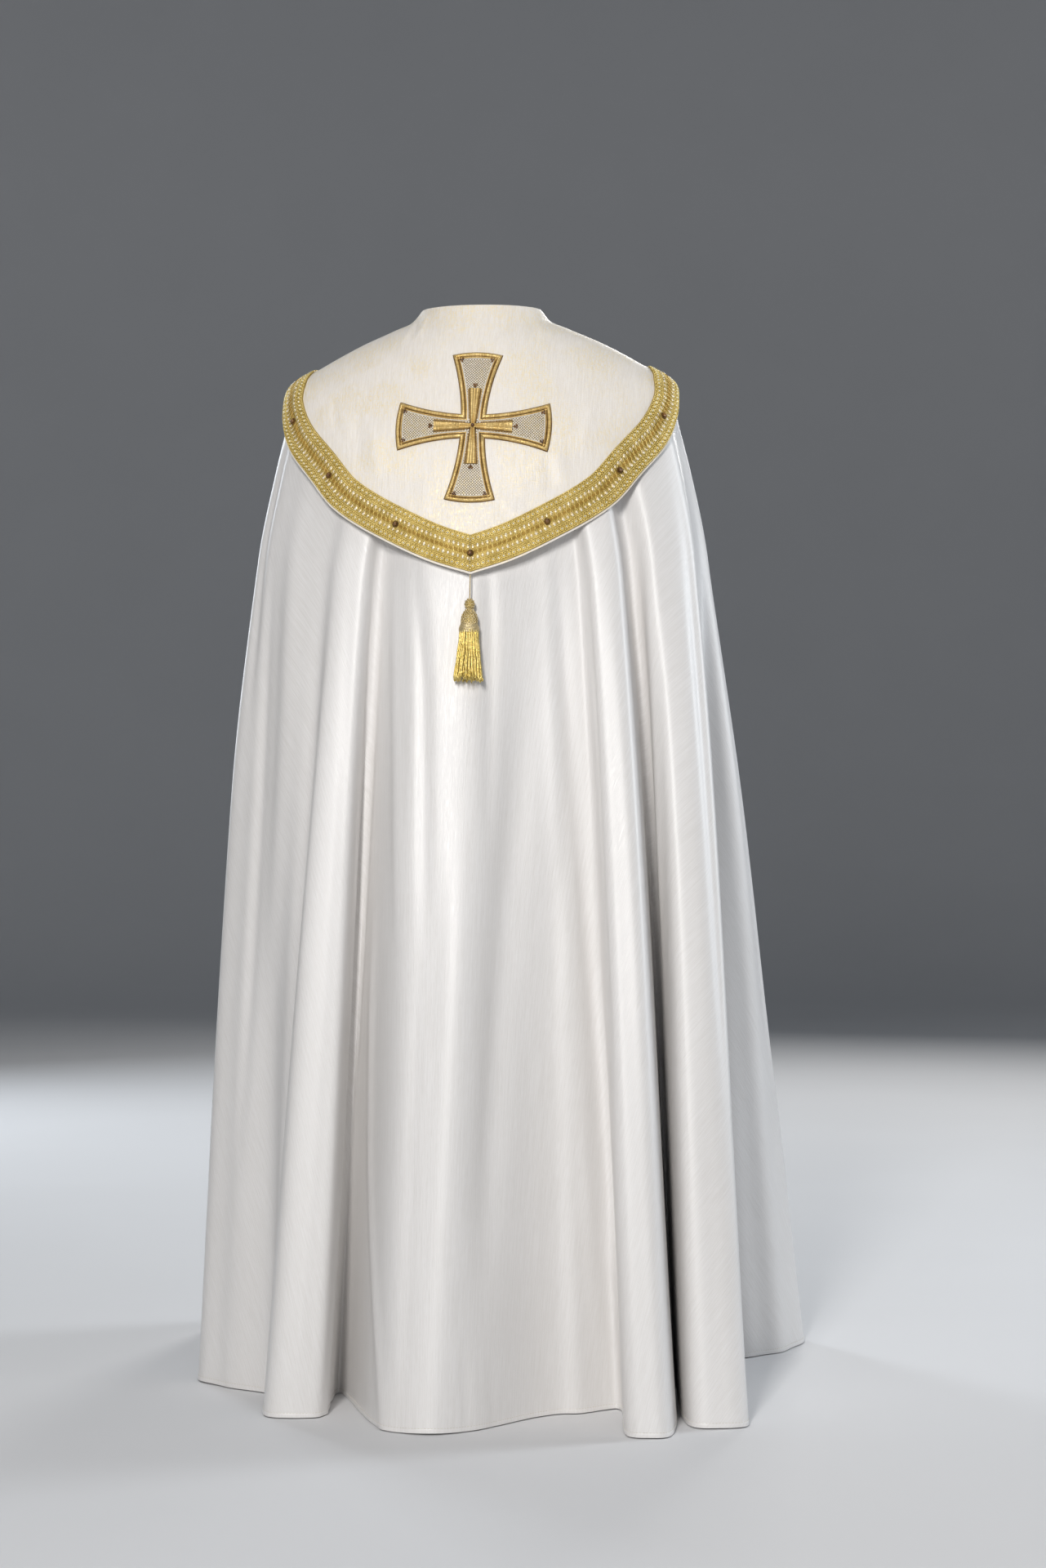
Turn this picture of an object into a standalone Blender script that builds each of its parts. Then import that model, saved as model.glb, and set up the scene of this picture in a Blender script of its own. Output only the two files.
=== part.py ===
"""A worn semicircular cope with a pointed hood, gold braid, an embroidered cross and a tassel.

Units are metres, +Z is up and the garment's front faces -Y, so its left side is +X. The origin is
the middle of the neck opening, level with the top of the shoulders. Angles around the body run
from the middle of the back, positive towards +X; a cloth level is a distance down from the neck.
"""

import math
from typing import NamedTuple

import bmesh
import bpy
import numpy as np
from mathutils import Matrix, Vector

# Driving sizes
CLOTH = 0.0020
SEAM_GAP = 0.0003
HEM_HEIGHT = -1.432
FOLD_GROWTH = 1.10

# Hood
HOOD_NECK_GAP = 0.0005
HOOD_REST_GAP = 0.0024
HOOD_LIFT = 0.0120
HOOD_MIDDLE = -1.0
HOOD_END = 150.0
HOOD_COLUMNS = 18

# Braid and embroidery
BRAID_WIDTH = 0.0475
BRAID_MARGIN = 0.0025
BRAID_THICKNESS = 0.0016
BRAID_GAP = 0.0004
TRIM_GAP = 0.0006
CROSS_HALF_WIDTH = 0.1035
CROSS_HALF_HEIGHT = 0.1045
CROSS_X = -0.004
CROSS_HEIGHT = -0.1475
CROSS_SLOPE = 0.985
CROSS_TILT = 1.2
CROSS_RIM = 0.0078
RIM_THICKNESS = 0.0034
FIELD_THICKNESS = 0.0012
INNER_THICKNESS = 0.0040
BEAD_RADIUS = 0.0034
BEAD_GAP = 0.0001

# Tassel, from the hood's tip down
CORD_RADIUS = 0.0009
CORD_LENGTH = 0.0330
BALL_RADIUS = 0.0072
HEAD_LENGTH = 0.0310
SKIRT_LENGTH = 0.0700
TASSEL_LEAN = 11.0
TASSEL_FLATNESS = 0.62

# Clasp at the breast
CLASP_LEVEL = 0.200
CLASP_HEIGHT = 0.058
CLASP_HALF_ANGLE = 19.0
HOOK_SIZE = (0.011, 0.0020, 0.007)


class Ring(NamedTuple):
    """One level of the smooth form that the cloth hangs over."""

    name: str
    half_width: float
    back: float
    front: float
    z_back: float
    z_side: float
    z_front: float


RINGS = (
    Ring("neck edge", 0.080, 0.056, 0.066, 0.026, 0.026, -0.030),
    Ring("foot of the neck", 0.094, 0.074, 0.082, -0.006, 0.008, -0.052),
    Ring("inner shoulder", 0.120, 0.094, 0.098, -0.040, -0.004, -0.076),
    Ring("middle shoulder", 0.165, 0.116, 0.115, -0.085, -0.024, -0.105),
    Ring("outer shoulder", 0.215, 0.134, 0.130, -0.140, -0.053, -0.140),
    Ring("shoulder tip", 0.257, 0.147, 0.142, -0.195, -0.083, -0.180),
    Ring("below the tip", 0.268, 0.154, 0.150, -0.240, -0.128, -0.225),
    Ring("upper arm", 0.284, 0.162, 0.160, -0.290, -0.195, -0.280),
    Ring("arm", 0.304, 0.174, 0.176, -0.370, -0.310, -0.365),
    Ring("hem", 0.365, 0.320, 0.390, HEM_HEIGHT, HEM_HEIGHT, HEM_HEIGHT),
)


class Fold(NamedTuple):
    """One fold of the mantle: its crest at the hem, the valley that follows it, and where it starts."""

    name: str
    crest_x: float
    crest_y: float
    half_width: float
    crest_angle: float
    valley_x: float
    valley_y: float
    valley_angle: float
    start: float


# From the left front edge, round the back, to the right front edge
FOLDS = (
    Fold("left edge roll", 0.105, -0.440, 0.022, 167.0, 0.160, -0.350, 158.0, 0.30),
    Fold("left front", 0.235, -0.452, 0.035, 148.0, 0.285, -0.325, 137.0, 0.28),
    Fold("left flare", 0.408, -0.366, 0.050, 122.0, 0.310, -0.120, 102.0, 0.22),
    Fold("left side", 0.340, 0.100, 0.085, 70.0, 0.262, 0.218, 39.0, 0.18),
    Fold("left back", 0.212, 0.286, 0.034, 31.0, 0.178, 0.128, 22.5, 0.16),
    Fold("centre back", 0.030, 0.356, 0.050, 5.0, -0.098, 0.250, -13.0, 0.20),
    Fold("centre slope", -0.150, 0.224, 0.020, -20.0, -0.198, 0.188, -27.0, 0.20),
    Fold("right back", -0.248, 0.356, 0.024, -35.0, -0.268, 0.060, -43.0, 0.16),
    Fold("right side", -0.336, 0.292, 0.034, -62.0, -0.300, -0.040, -84.0, 0.18),
    Fold("right flare", -0.403, -0.334, 0.055, -112.0, -0.285, -0.330, -136.0, 0.22),
    Fold("right front", -0.240, -0.455, 0.035, -147.0, -0.160, -0.355, -158.0, 0.28),
)
LEFT_EDGE = (0.055, -0.400, 175.0, 0.30)
RIGHT_ROLL = (-0.108, -0.442, -167.0, 0.30)
RIGHT_EDGE = (-0.055, -0.402, -175.0, 0.30)
LEFT_SEAM_FOLD = 2
RIGHT_SEAM_FOLD = 8
CREST_DROP = 0.25


class HoodEdge(NamedTuple):
    """The height of the hood's outer edge at a turn from its middle."""

    turn: float
    height: float


HOOD_EDGE = (
    HoodEdge(0.0, -0.348),
    HoodEdge(9.5, -0.332),
    HoodEdge(22.0, -0.303),
    HoodEdge(39.5, -0.256),
    HoodEdge(51.0, -0.212),
    HoodEdge(65.0, -0.168),
    HoodEdge(76.0, -0.128),
    HoodEdge(83.0, -0.099),
    HoodEdge(91.0, -0.085),
    HoodEdge(110.0, -0.084),
    HoodEdge(132.0, -0.099),
    HoodEdge(HOOD_END, -0.113),
)


class Finish(NamedTuple):
    """A plain surface for one kind of piece."""

    name: str
    colour: tuple
    roughness: float
    metallic: float


SATIN = Finish("ivory satin", (0.87, 0.85, 0.80), 0.42, 0.0)
LAME = Finish("ivory lame", (0.84, 0.80, 0.68), 0.45, 0.0)
BRAID_GOLD = Finish("gold braid", (0.72, 0.55, 0.18), 0.42, 0.5)
PURL_GOLD = Finish("gold purl", (0.76, 0.50, 0.14), 0.35, 0.7)
STRAND_GOLD = Finish("gold strands", (0.66, 0.50, 0.12), 0.36, 0.6)
BEAD_AMBER = Finish("amber bead", (0.22, 0.10, 0.03), 0.15, 0.2)
CLASP_METAL = Finish("gilt metal", (0.72, 0.52, 0.20), 0.30, 1.0)


# Curves through a few values

def smooth_through(knots, values, x):
    """Return a cubic through the values that never overshoots them."""
    knots = np.asarray(knots, dtype=float)
    values = np.asarray(values, dtype=float)
    step = np.diff(knots)
    slope = np.diff(values) / step
    tangent = np.empty_like(values)
    tangent[0] = slope[0]
    tangent[-1] = slope[-1]
    same_way = slope[:-1] * slope[1:] > 0
    weight_a = 2 * step[1:] + step[:-1]
    weight_b = step[1:] + 2 * step[:-1]
    safe_a = np.where(same_way, slope[:-1], 1.0)
    safe_b = np.where(same_way, slope[1:], 1.0)
    mean = (weight_a + weight_b) / (weight_a / safe_a + weight_b / safe_b)
    tangent[1:-1] = np.where(same_way, mean, 0.0)
    x = np.clip(np.asarray(x, dtype=float), knots[0], knots[-1])
    cell = np.clip(np.searchsorted(knots, x, side="right") - 1, 0, len(step) - 1)
    u = (x - knots[cell]) / step[cell]
    rise = values[cell + 1] - values[cell]
    start = tangent[cell] * step[cell]
    end = tangent[cell + 1] * step[cell]
    return values[cell] + u * (start + u * ((3 * rise - 2 * start - end) + u * (start + end - 2 * rise)))


def round_through(knots, points, x):
    """Return a rounded plan curve through the points (Catmull-Rom with uneven knots)."""
    knots = np.asarray(knots, dtype=float)
    points = np.asarray(points, dtype=float)
    step = np.diff(knots)[:, None]
    chord = np.diff(points, axis=0) / step
    tangent = np.empty_like(points)
    tangent[0] = chord[0]
    tangent[-1] = chord[-1]
    tangent[1:-1] = (chord[:-1] * step[1:] + chord[1:] * step[:-1]) / (step[1:] + step[:-1])
    x = np.clip(np.asarray(x, dtype=float), knots[0], knots[-1])
    cell = np.clip(np.searchsorted(knots, x, side="right") - 1, 0, len(step) - 1)
    span = step[cell]
    u = ((x - knots[cell]) / span[..., 0])[..., None]
    rise = points[cell + 1] - points[cell]
    start = tangent[cell] * span
    end = tangent[cell + 1] * span
    return points[cell] + u * (start + u * ((3 * rise - 2 * start - end) + u * (start + end - 2 * rise)))


# The smooth form over the shoulders

def ring_levels():
    """Return each ring's distance down the cloth, the mean of its back and its side."""
    levels = [0.0]
    for upper, lower in zip(RINGS, RINGS[1:]):
        down_back = math.hypot(lower.back - upper.back, lower.z_back - upper.z_back)
        down_side = math.hypot(lower.half_width - upper.half_width, lower.z_side - upper.z_side)
        levels.append(levels[-1] + (down_back + down_side) / 2)
    return levels


LEVELS = ring_levels()
HEM_LEVEL = LEVELS[-1]


def ring_column(name, level):
    """Return one column of the ring table at any level."""
    return smooth_through(LEVELS, [getattr(ring, name) for ring in RINGS], level)


def form_point(angle, level):
    """Return the smooth form at an angle in degrees and a level, as an array of points."""
    angle, level = np.broadcast_arrays(np.asarray(angle, float), np.asarray(level, float))
    sine = np.sin(np.radians(angle))
    cosine = np.cos(np.radians(angle))
    depth = np.where(cosine > 0, ring_column("back", level), ring_column("front", level))
    z_end = np.where(cosine > 0, ring_column("z_back", level), ring_column("z_front", level))
    x = ring_column("half_width", level) * sine
    z = z_end * cosine ** 2 + ring_column("z_side", level) * sine ** 2
    return np.stack([x, depth * cosine, z], axis=-1)


def form_normal(angle, level):
    """Return the outward unit normal of the smooth form."""
    turn = 0.05
    drop = 0.0005
    angle = np.asarray(angle, float)
    level = np.asarray(level, float)
    low = np.clip(level - drop, 0.0, HEM_LEVEL)
    high = np.clip(level + drop, 0.0, HEM_LEVEL)
    across = form_point(angle + turn, level) - form_point(angle - turn, level)
    down = form_point(angle, high) - form_point(angle, low)
    normal = np.cross(down, across)
    normal /= np.linalg.norm(normal, axis=-1, keepdims=True)
    return -normal


# The mantle

def hem_keys():
    """Return the hem's keys as (x, y, shoulder angle, start), from the left front edge to the right."""
    keys = [LEFT_EDGE]
    valley = LEFT_EDGE
    for fold in FOLDS:
        following = (fold.valley_x, fold.valley_y, fold.valley_angle, fold.start)
        crest = Vector((fold.crest_x, fold.crest_y))
        foot = (Vector(valley[:2]) + Vector(following[:2])) / 2
        outward = (crest - foot).normalized()
        sideways = Vector((-outward.y, outward.x))
        if sideways.dot(Vector(following[:2]) - Vector(valley[:2])) < 0:
            sideways = -sideways
        for side, neighbour in ((-1, valley), (0, None), (1, following)):
            place = crest + (sideways * side - outward * abs(side) * CREST_DROP) * fold.half_width
            angle = fold.crest_angle
            if neighbour is not None:
                angle += (neighbour[2] - fold.crest_angle) * 0.4
            keys.append((place.x, place.y, angle, fold.start))
        keys.append(following)
        valley = following
    keys.extend([RIGHT_ROLL, RIGHT_EDGE])
    return keys


KEYS = hem_keys()
HEM_PLAN = np.array([key[:2] for key in KEYS])
KEY_ANGLES = np.array([key[2] for key in KEYS])
KEY_STARTS = np.array([key[3] for key in KEYS])
HEM_KNOTS = np.concatenate([[0.0], np.cumsum(np.sqrt(np.linalg.norm(np.diff(HEM_PLAN, axis=0), axis=1)))])


def seam_knot(fold_index):
    """Return the place round the hem of a fold's valley."""
    return HEM_KNOTS[4 * (fold_index + 1)]


def mantle_point(place, level):
    """Return the mantle's outer face at a place round the hem and a level."""
    place, level = np.broadcast_arrays(np.asarray(place, float), np.asarray(level, float))
    angle = smooth_through(HEM_KNOTS, KEY_ANGLES, place)
    hem = round_through(HEM_KNOTS, HEM_PLAN, place)
    foot = form_point(angle, np.full_like(level, HEM_LEVEL))
    start = smooth_through(HEM_KNOTS, KEY_STARTS, place)
    share = np.clip((level - start) / (HEM_LEVEL - start), 0.0, 1.0) ** FOLD_GROWTH
    point = form_point(angle, level)
    point[..., 0] += (hem[..., 0] - foot[..., 0]) * share
    point[..., 1] += (hem[..., 1] - foot[..., 1]) * share
    return point


def mantle_levels():
    """Return the levels of the mantle's rows: one at each ring, then evenly down to the hem."""
    steps = 6
    lower = [LEVELS[8] + (HEM_LEVEL - LEVELS[8]) * step / steps for step in range(1, steps + 1)]
    return np.array(LEVELS[:9] + lower)


def mantle_places(first, last):
    """Return places round the hem, two or three between neighbouring keys of a panel."""
    inside = [knot for knot in HEM_KNOTS if first - 1e-9 <= knot <= last + 1e-9]
    places = [inside[0]]
    for start, end in zip(inside, inside[1:]):
        count = 2 if end - start < 0.30 else 3
        places.extend(start + (end - start) * step / count for step in range(1, count + 1))
    return np.array(places)


# The hood

def hood_gap(level):
    """Return how far the hood's inner face stands off the smooth form."""
    level = np.asarray(level, float)
    near_neck = np.clip(level / 0.05, 0.0, 1.0)
    below = np.clip((level - 0.10) / 0.28, 0.0, 1.0)
    lift = below * below * (3 - 2 * below)
    return HOOD_NECK_GAP + (HOOD_REST_GAP - HOOD_NECK_GAP) * near_neck + HOOD_LIFT * lift


def hood_point(turn, level, out=0.0):
    """Return the hood's outer face at a turn from its middle, or a point further out."""
    level = np.asarray(level, float)
    stand = hood_gap(level) + CLOTH + out
    angle = np.asarray(turn, float) + HOOD_MIDDLE
    return form_point(angle, level) + form_normal(angle, level) * stand[..., None]


def hood_slopes(turn, level):
    """Return a hood point and how it moves with the turn and with the level."""
    turn_step = 0.05
    level_step = 0.0005
    here = hood_point(turn, level)
    by_turn = (hood_point(turn + turn_step, level) - here) / turn_step
    by_level = (hood_point(turn, level + level_step) - here) / level_step
    return here, by_turn, by_level


def level_at_height(angle, height):
    """Return the level where the smooth form reaches a height, by halving."""
    low = np.zeros_like(np.asarray(angle, float))
    high = np.full_like(low, LEVELS[8])
    for _ in range(40):
        middle = (low + high) / 2
        above = form_point(angle, middle)[..., 2] > height
        low = np.where(above, middle, low)
        high = np.where(above, high, middle)
    return (low + high) / 2


def hood_edge_level(turn):
    """Return the level of the hood's edge at a turn from its middle."""
    height = smooth_through([row.turn for row in HOOD_EDGE], [row.height for row in HOOD_EDGE], np.abs(turn))
    return level_at_height(turn, height)


def hood_inset(turn, margin):
    """Return turn and level on the hood at a distance in from a point of its edge."""
    turn, margin = np.broadcast_arrays(np.asarray(turn, float), np.asarray(margin, float))
    side = np.where(turn < 0, -1.0, 1.0)
    level = hood_edge_level(turn)
    nudge = 0.2 * side
    along = hood_point(turn + nudge, hood_edge_level(turn + nudge)) - hood_point(turn, level)
    along /= np.linalg.norm(along, axis=-1, keepdims=True)
    steps = 8
    for _ in range(steps):
        _, by_turn, by_level = hood_slopes(turn, level)
        inward = np.cross(form_normal(turn + HOOD_MIDDLE, level), along) * -side[..., None]
        move = inward * (margin / steps)[..., None]
        tt = (by_turn * by_turn).sum(-1)
        tl = (by_turn * by_level).sum(-1)
        ll = (by_level * by_level).sum(-1)
        mt = (by_turn * move).sum(-1)
        ml = (by_level * move).sum(-1)
        det = tt * ll - tl * tl
        turn = turn + (mt * ll - ml * tl) / det
        level = level + (ml * tt - mt * tl) / det
    return turn, level


def mitre_turn(margin):
    """Return the turn of the edge point whose inset line meets the hood's middle."""
    low = np.zeros_like(margin)
    high = np.full_like(margin, 30.0)
    for _ in range(30):
        middle = (low + high) / 2
        past = hood_inset(middle, margin)[0] < 0
        low = np.where(past, middle, low)
        high = np.where(past, high, middle)
    return (low + high) / 2


def hood_half(side, shares, margins, fractions):
    """Return turn and level of one half of the hood: rows from the neck, then lines along the edge."""
    starts = mitre_turn(margins)
    edge_turn = side * (starts + (HOOD_END - starts) * shares[:, None])
    band_turn, band_level = hood_inset(edge_turn, margins)
    band_turn[shares == 0] = 0.0
    neck_turn = side * HOOD_END * shares[:, None]
    upper_turn = neck_turn + (band_turn[:, -1:] - neck_turn) * fractions
    upper_level = band_level[:, -1:] * fractions
    turn = np.concatenate([upper_turn, band_turn[:, ::-1]], axis=1)
    level = np.concatenate([upper_level, band_level[:, ::-1]], axis=1)
    return turn, level


def hood_at(x, z):
    """Return turn and level of the point on the hood's back with this x and z."""
    turn = np.degrees(np.arcsin(np.clip(np.asarray(x, float) / 0.2, -0.95, 0.95)))
    level = np.full_like(turn, 0.2)
    for _ in range(12):
        here, by_turn, by_level = hood_slopes(turn, level)
        dx = x - here[..., 0]
        dz = z - here[..., 2]
        det = by_turn[..., 0] * by_level[..., 2] - by_level[..., 0] * by_turn[..., 2]
        turn = turn + (dx * by_level[..., 2] - dz * by_level[..., 0]) / det
        level = level + (by_turn[..., 0] * dz - by_turn[..., 2] * dx) / det
        level = np.clip(level, 0.001, LEVELS[8])
    return turn, level


# Objects

def material(finish):
    """Return the material of a finish, made once."""
    made = bpy.data.materials.get(finish.name)
    if made is None:
        made = bpy.data.materials.new(finish.name)
        made.use_nodes = True
        shader = made.node_tree.nodes["Principled BSDF"]
        shader.inputs["Base Color"].default_value = (*finish.colour, 1.0)
        shader.inputs["Roughness"].default_value = finish.roughness
        shader.inputs["Metallic"].default_value = finish.metallic
    return made


def add_object(name, mesh, finish, smooth=True):
    """Link a mesh as a named object with its own copy of the finish."""
    own = material(finish).copy()
    own.name = f"{name} {finish.name}"
    mesh.materials.append(own)
    if smooth:
        mesh.shade_smooth()
        mesh.set_sharp_from_angle(angle=math.radians(40.0))
    made = bpy.data.objects.new(name, mesh)
    bpy.context.collection.objects.link(made)
    return made


def sheet_faces(columns, rows, closed=False):
    """Return the quads of a grid whose columns run from left to right seen from behind."""
    faces = []
    last = columns if closed else columns - 1
    for i in range(last):
        following = (i + 1) % columns
        for j in range(rows - 1):
            faces.append((i * rows + j, i * rows + j + 1, following * rows + j + 1, following * rows + j))
    return faces


def add_sheet(name, grid, thickness, finish, closed=False):
    """Make a cloth wall from a grid of points on its outer face."""
    columns, rows = grid.shape[:2]
    mesh = bpy.data.meshes.new(name)
    mesh.from_pydata(grid.reshape(-1, 3).tolist(), [], sheet_faces(columns, rows, closed))
    made = add_object(name, mesh, finish)
    wall = made.modifiers.new("wall", "SOLIDIFY")
    wall.thickness = thickness
    wall.offset = -1.0
    return made


def pull_in(grid, column, neighbour):
    """Move one border column a little over half a seam gap towards its neighbour."""
    along = grid[neighbour] - grid[column]
    length = np.linalg.norm(along, axis=-1, keepdims=True)
    grid[column] += along / np.maximum(length, 1e-9) * SEAM_GAP * 0.6


def add_mantle():
    """Make the back panel and the two front panels, with a seam gap between them."""
    left = seam_knot(LEFT_SEAM_FOLD)
    right = seam_knot(RIGHT_SEAM_FOLD)
    panels = (
        ("mantle_front_left", HEM_KNOTS[0], left),
        ("mantle_back", left, right),
        ("mantle_front_right", right, HEM_KNOTS[-1]),
    )
    levels = mantle_levels()
    for name, first, last in panels:
        places = mantle_places(first, last)
        grid = mantle_point(places[:, None], levels[None, :])
        if first > HEM_KNOTS[0]:
            pull_in(grid, 0, 1)
        if last < HEM_KNOTS[-1]:
            pull_in(grid, -1, -2)
        add_sheet(name, grid, CLOTH, SATIN)


BAND_MARGINS = np.array([0.0, BRAID_MARGIN, BRAID_MARGIN + BRAID_WIDTH / 2, BRAID_MARGIN + BRAID_WIDTH])
UPPER_ROWS = 7


def hood_shares():
    """Return the columns of one half of the hood, as shares of its edge."""
    return np.linspace(0.0, 1.0, HOOD_COLUMNS + 1)


def hood_rows(side):
    """Return turn and level of the hood's grid on one side."""
    return hood_half(side, hood_shares(), BAND_MARGINS, np.arange(UPPER_ROWS) / UPPER_ROWS)


def add_hood():
    """Make the pointed hood, from the neck edge to its curved edge."""
    left_turn, left_level = hood_rows(1)
    right_turn, right_level = hood_rows(-1)
    turn = np.concatenate([left_turn[::-1], right_turn[1:]])
    level = np.concatenate([left_level[::-1], right_level[1:]])
    add_sheet("hood", hood_point(turn, level), CLOTH, LAME)


def add_braid():
    """Make the two halves of the wide braid from the hood's own points, moved out."""
    for name, side in (("hood_braid_left", 1), ("hood_braid_right", -1)):
        turn, level = hood_rows(side)
        grid = hood_point(turn[:, UPPER_ROWS:-1], level[:, UPPER_ROWS:-1], BRAID_GAP + BRAID_THICKNESS)
        pull_in(grid, 0, 1)
        add_sheet(name, grid[::-1] if side > 0 else grid, BRAID_THICKNESS, BRAID_GOLD)


# The cross

class Arm(NamedTuple):
    """Half widths and rounding of the arms of a cross whose ends are curved outwards."""

    length: float
    end_half: float
    root_half: float
    bow: float


def cross_outline(across, up, steps):
    """Return the closed outline of a cross with flared arms, counter-clockwise from the right arm."""
    outline = []
    arms = ((across, up), (up, across), (across, up), (up, across))
    for quarter, (arm, other) in enumerate(arms):
        points = []
        for step in range(steps + 1):
            share = step / steps
            along = other.root_half + (arm.length - other.root_half) * share
            half = arm.root_half + (arm.end_half - arm.root_half) * (0.25 * share + 0.75 * share ** 2)
            points.append((along, -half))
        for step in range(1, steps):
            turn = -1 + 2 * step / steps
            points.append((arm.length + arm.bow * (1 - turn ** 2), arm.end_half * turn))
        for step in range(steps, 0, -1):
            along, half = points[step]
            points.append((along, -half))
        cosine, sine = ((1, 0), (0, 1), (-1, 0), (0, -1))[quarter]
        outline.extend((u * cosine - v * sine, u * sine + v * cosine) for u, v in points)
    return np.array(outline)


def shrink(outline, distance):
    """Return a closed outline moved in by a distance."""
    before = np.roll(outline, 1, axis=0)
    after = np.roll(outline, -1, axis=0)
    first = outline - before
    second = after - outline
    first /= np.linalg.norm(first, axis=1, keepdims=True)
    second /= np.linalg.norm(second, axis=1, keepdims=True)
    side = np.stack([-first[:, 1] - second[:, 1], first[:, 0] + second[:, 0]], axis=1)
    reach = 2.0 / np.maximum((side ** 2).sum(axis=1), 0.6)
    return outline + side * reach[:, None] * distance


def on_hood(flat, out):
    """Lay flat cross coordinates (right and up, seen from behind) on the hood's outer face."""
    tilt = math.radians(CROSS_TILT)
    right = flat[..., 0] * math.cos(tilt) + flat[..., 1] * math.sin(tilt)
    up = -flat[..., 0] * math.sin(tilt) + flat[..., 1] * math.cos(tilt)
    turn, level = hood_at(CROSS_X - right, CROSS_HEIGHT + up * CROSS_SLOPE)
    return hood_point(turn, level, out)


def bridge_rings(rings, finish, name, close_ends):
    """Make a closed solid from rings of points of one length; ends are capped or joined."""
    count = len(rings[0])
    mesh = bpy.data.meshes.new(name)
    builder = bmesh.new()
    loops = [[builder.verts.new(point) for point in ring] for ring in rings]
    pairs = list(zip(loops, loops[1:]))
    if not close_ends:
        pairs.append((loops[-1], loops[0]))
    for upper, lower in pairs:
        for i in range(count):
            following = (i + 1) % count
            builder.faces.new((upper[i], upper[following], lower[following], lower[i]))
    if close_ends:
        builder.faces.new(list(reversed(loops[0])))
        builder.faces.new(loops[-1])
    bmesh.ops.triangulate(builder, faces=[face for face in builder.faces if len(face.verts) > 4])
    bmesh.ops.recalc_face_normals(builder, faces=builder.faces)
    builder.to_mesh(mesh)
    builder.free()
    return add_object(name, mesh, finish)


OUTER_ARM_ACROSS = Arm(CROSS_HALF_WIDTH - 0.004, 0.0335, 0.0165, 0.004)
OUTER_ARM_UP = Arm(CROSS_HALF_HEIGHT - 0.004, 0.0335, 0.0165, 0.004)
INNER_ARM_ACROSS = Arm(0.0520, 0.0075, 0.0030, 0.0010)
INNER_ARM_UP = Arm(0.0520, 0.0075, 0.0030, 0.0010)


def add_cross():
    """Make the cross: a thin field, a padded rim round it and a slender padded cross within."""
    outline = cross_outline(OUTER_ARM_ACROSS, OUTER_ARM_UP, 6)
    inside = shrink(outline, CROSS_RIM)
    low = TRIM_GAP
    top = TRIM_GAP + RIM_THICKNESS
    rim = (
        on_hood(outline, low),
        on_hood(shrink(outline, 0.0012), top - 0.0008),
        on_hood(shrink(outline, CROSS_RIM / 2), top),
        on_hood(shrink(outline, CROSS_RIM - 0.0012), top - 0.0008),
        on_hood(inside, low),
    )
    bridge_rings([ring.tolist() for ring in rim], PURL_GOLD, "cross_rim", False)
    edge = shrink(outline, CROSS_RIM + SEAM_GAP * 1.5)
    add_field("cross_field", edge, low, low + FIELD_THICKNESS)
    slim = cross_outline(INNER_ARM_ACROSS, INNER_ARM_UP, 4)
    start = low + FIELD_THICKNESS + SEAM_GAP
    add_padded_cross("cross_inner", slim, start, start + INNER_THICKNESS)


def fill_cross(builder, ring, middle, flip):
    """Fill a cross outline: strips across each arm and a square in the middle."""
    quarter = len(ring) // 4
    for index in range(4):
        arm = ring[quarter * index:quarter * (index + 1)]
        low, high = 0, len(arm) - 1
        while high - low > 2:
            face = (arm[low], arm[low + 1], arm[high - 1], arm[high])
            builder.faces.new(face if flip else face[::-1])
            low += 1
            high -= 1
        if high - low == 2:
            face = (arm[low], arm[low + 1], arm[high])
            builder.faces.new(face if flip else face[::-1])
    for index in range(4):
        arm = ring[quarter * index:quarter * (index + 1)]
        following = ring[quarter * ((index + 1) % 4)]
        for face in ((middle, arm[0], arm[-1]), (middle, arm[-1], following)):
            builder.faces.new(face if flip else face[::-1])


def add_field(name, outline, low, high):
    """Make the thin field of the cross between two offsets from the hood."""
    mesh = bpy.data.meshes.new(name)
    builder = bmesh.new()
    rings = []
    for out, flip in ((low, False), (high, True)):
        ring = [builder.verts.new(point) for point in on_hood(outline, out)]
        middle = builder.verts.new(on_hood(np.zeros(2), out))
        fill_cross(builder, ring, middle, flip)
        rings.append(ring)
    count = len(outline)
    for i in range(count):
        following = (i + 1) % count
        builder.faces.new((rings[0][i], rings[0][following], rings[1][following], rings[1][i]))
    bmesh.ops.recalc_face_normals(builder, faces=builder.faces)
    builder.to_mesh(mesh)
    builder.free()
    add_object(name, mesh, LAME)


def add_padded_cross(name, outline, low, high):
    """Make a slender cross that rises from its edges to a rounded top."""
    mesh = bpy.data.meshes.new(name)
    builder = bmesh.new()
    shapes = (
        (outline, low),
        (outline, low + (high - low) * 0.45),
        (outline * np.array([0.985, 0.985]) - np.sign(outline) * 0.0010, high),
    )
    rings = [[builder.verts.new(point) for point in on_hood(shape, out)] for shape, out in shapes]
    bottom = builder.verts.new(on_hood(np.zeros(2), low))
    top = builder.verts.new(on_hood(np.zeros(2), high))
    fill_cross(builder, rings[0], bottom, False)
    fill_cross(builder, rings[-1], top, True)
    count = len(outline)
    for lower, upper in zip(rings, rings[1:]):
        for i in range(count):
            following = (i + 1) % count
            builder.faces.new((lower[i], lower[following], upper[following], upper[i]))
    bmesh.ops.recalc_face_normals(builder, faces=builder.faces)
    builder.to_mesh(mesh)
    builder.free()
    add_object(name, mesh, PURL_GOLD)


# Beads

BEAD_TURNS = (97.0, 71.0, 47.0, 22.0, 0.0, -22.0, -47.0, -71.0, -97.0)


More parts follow.
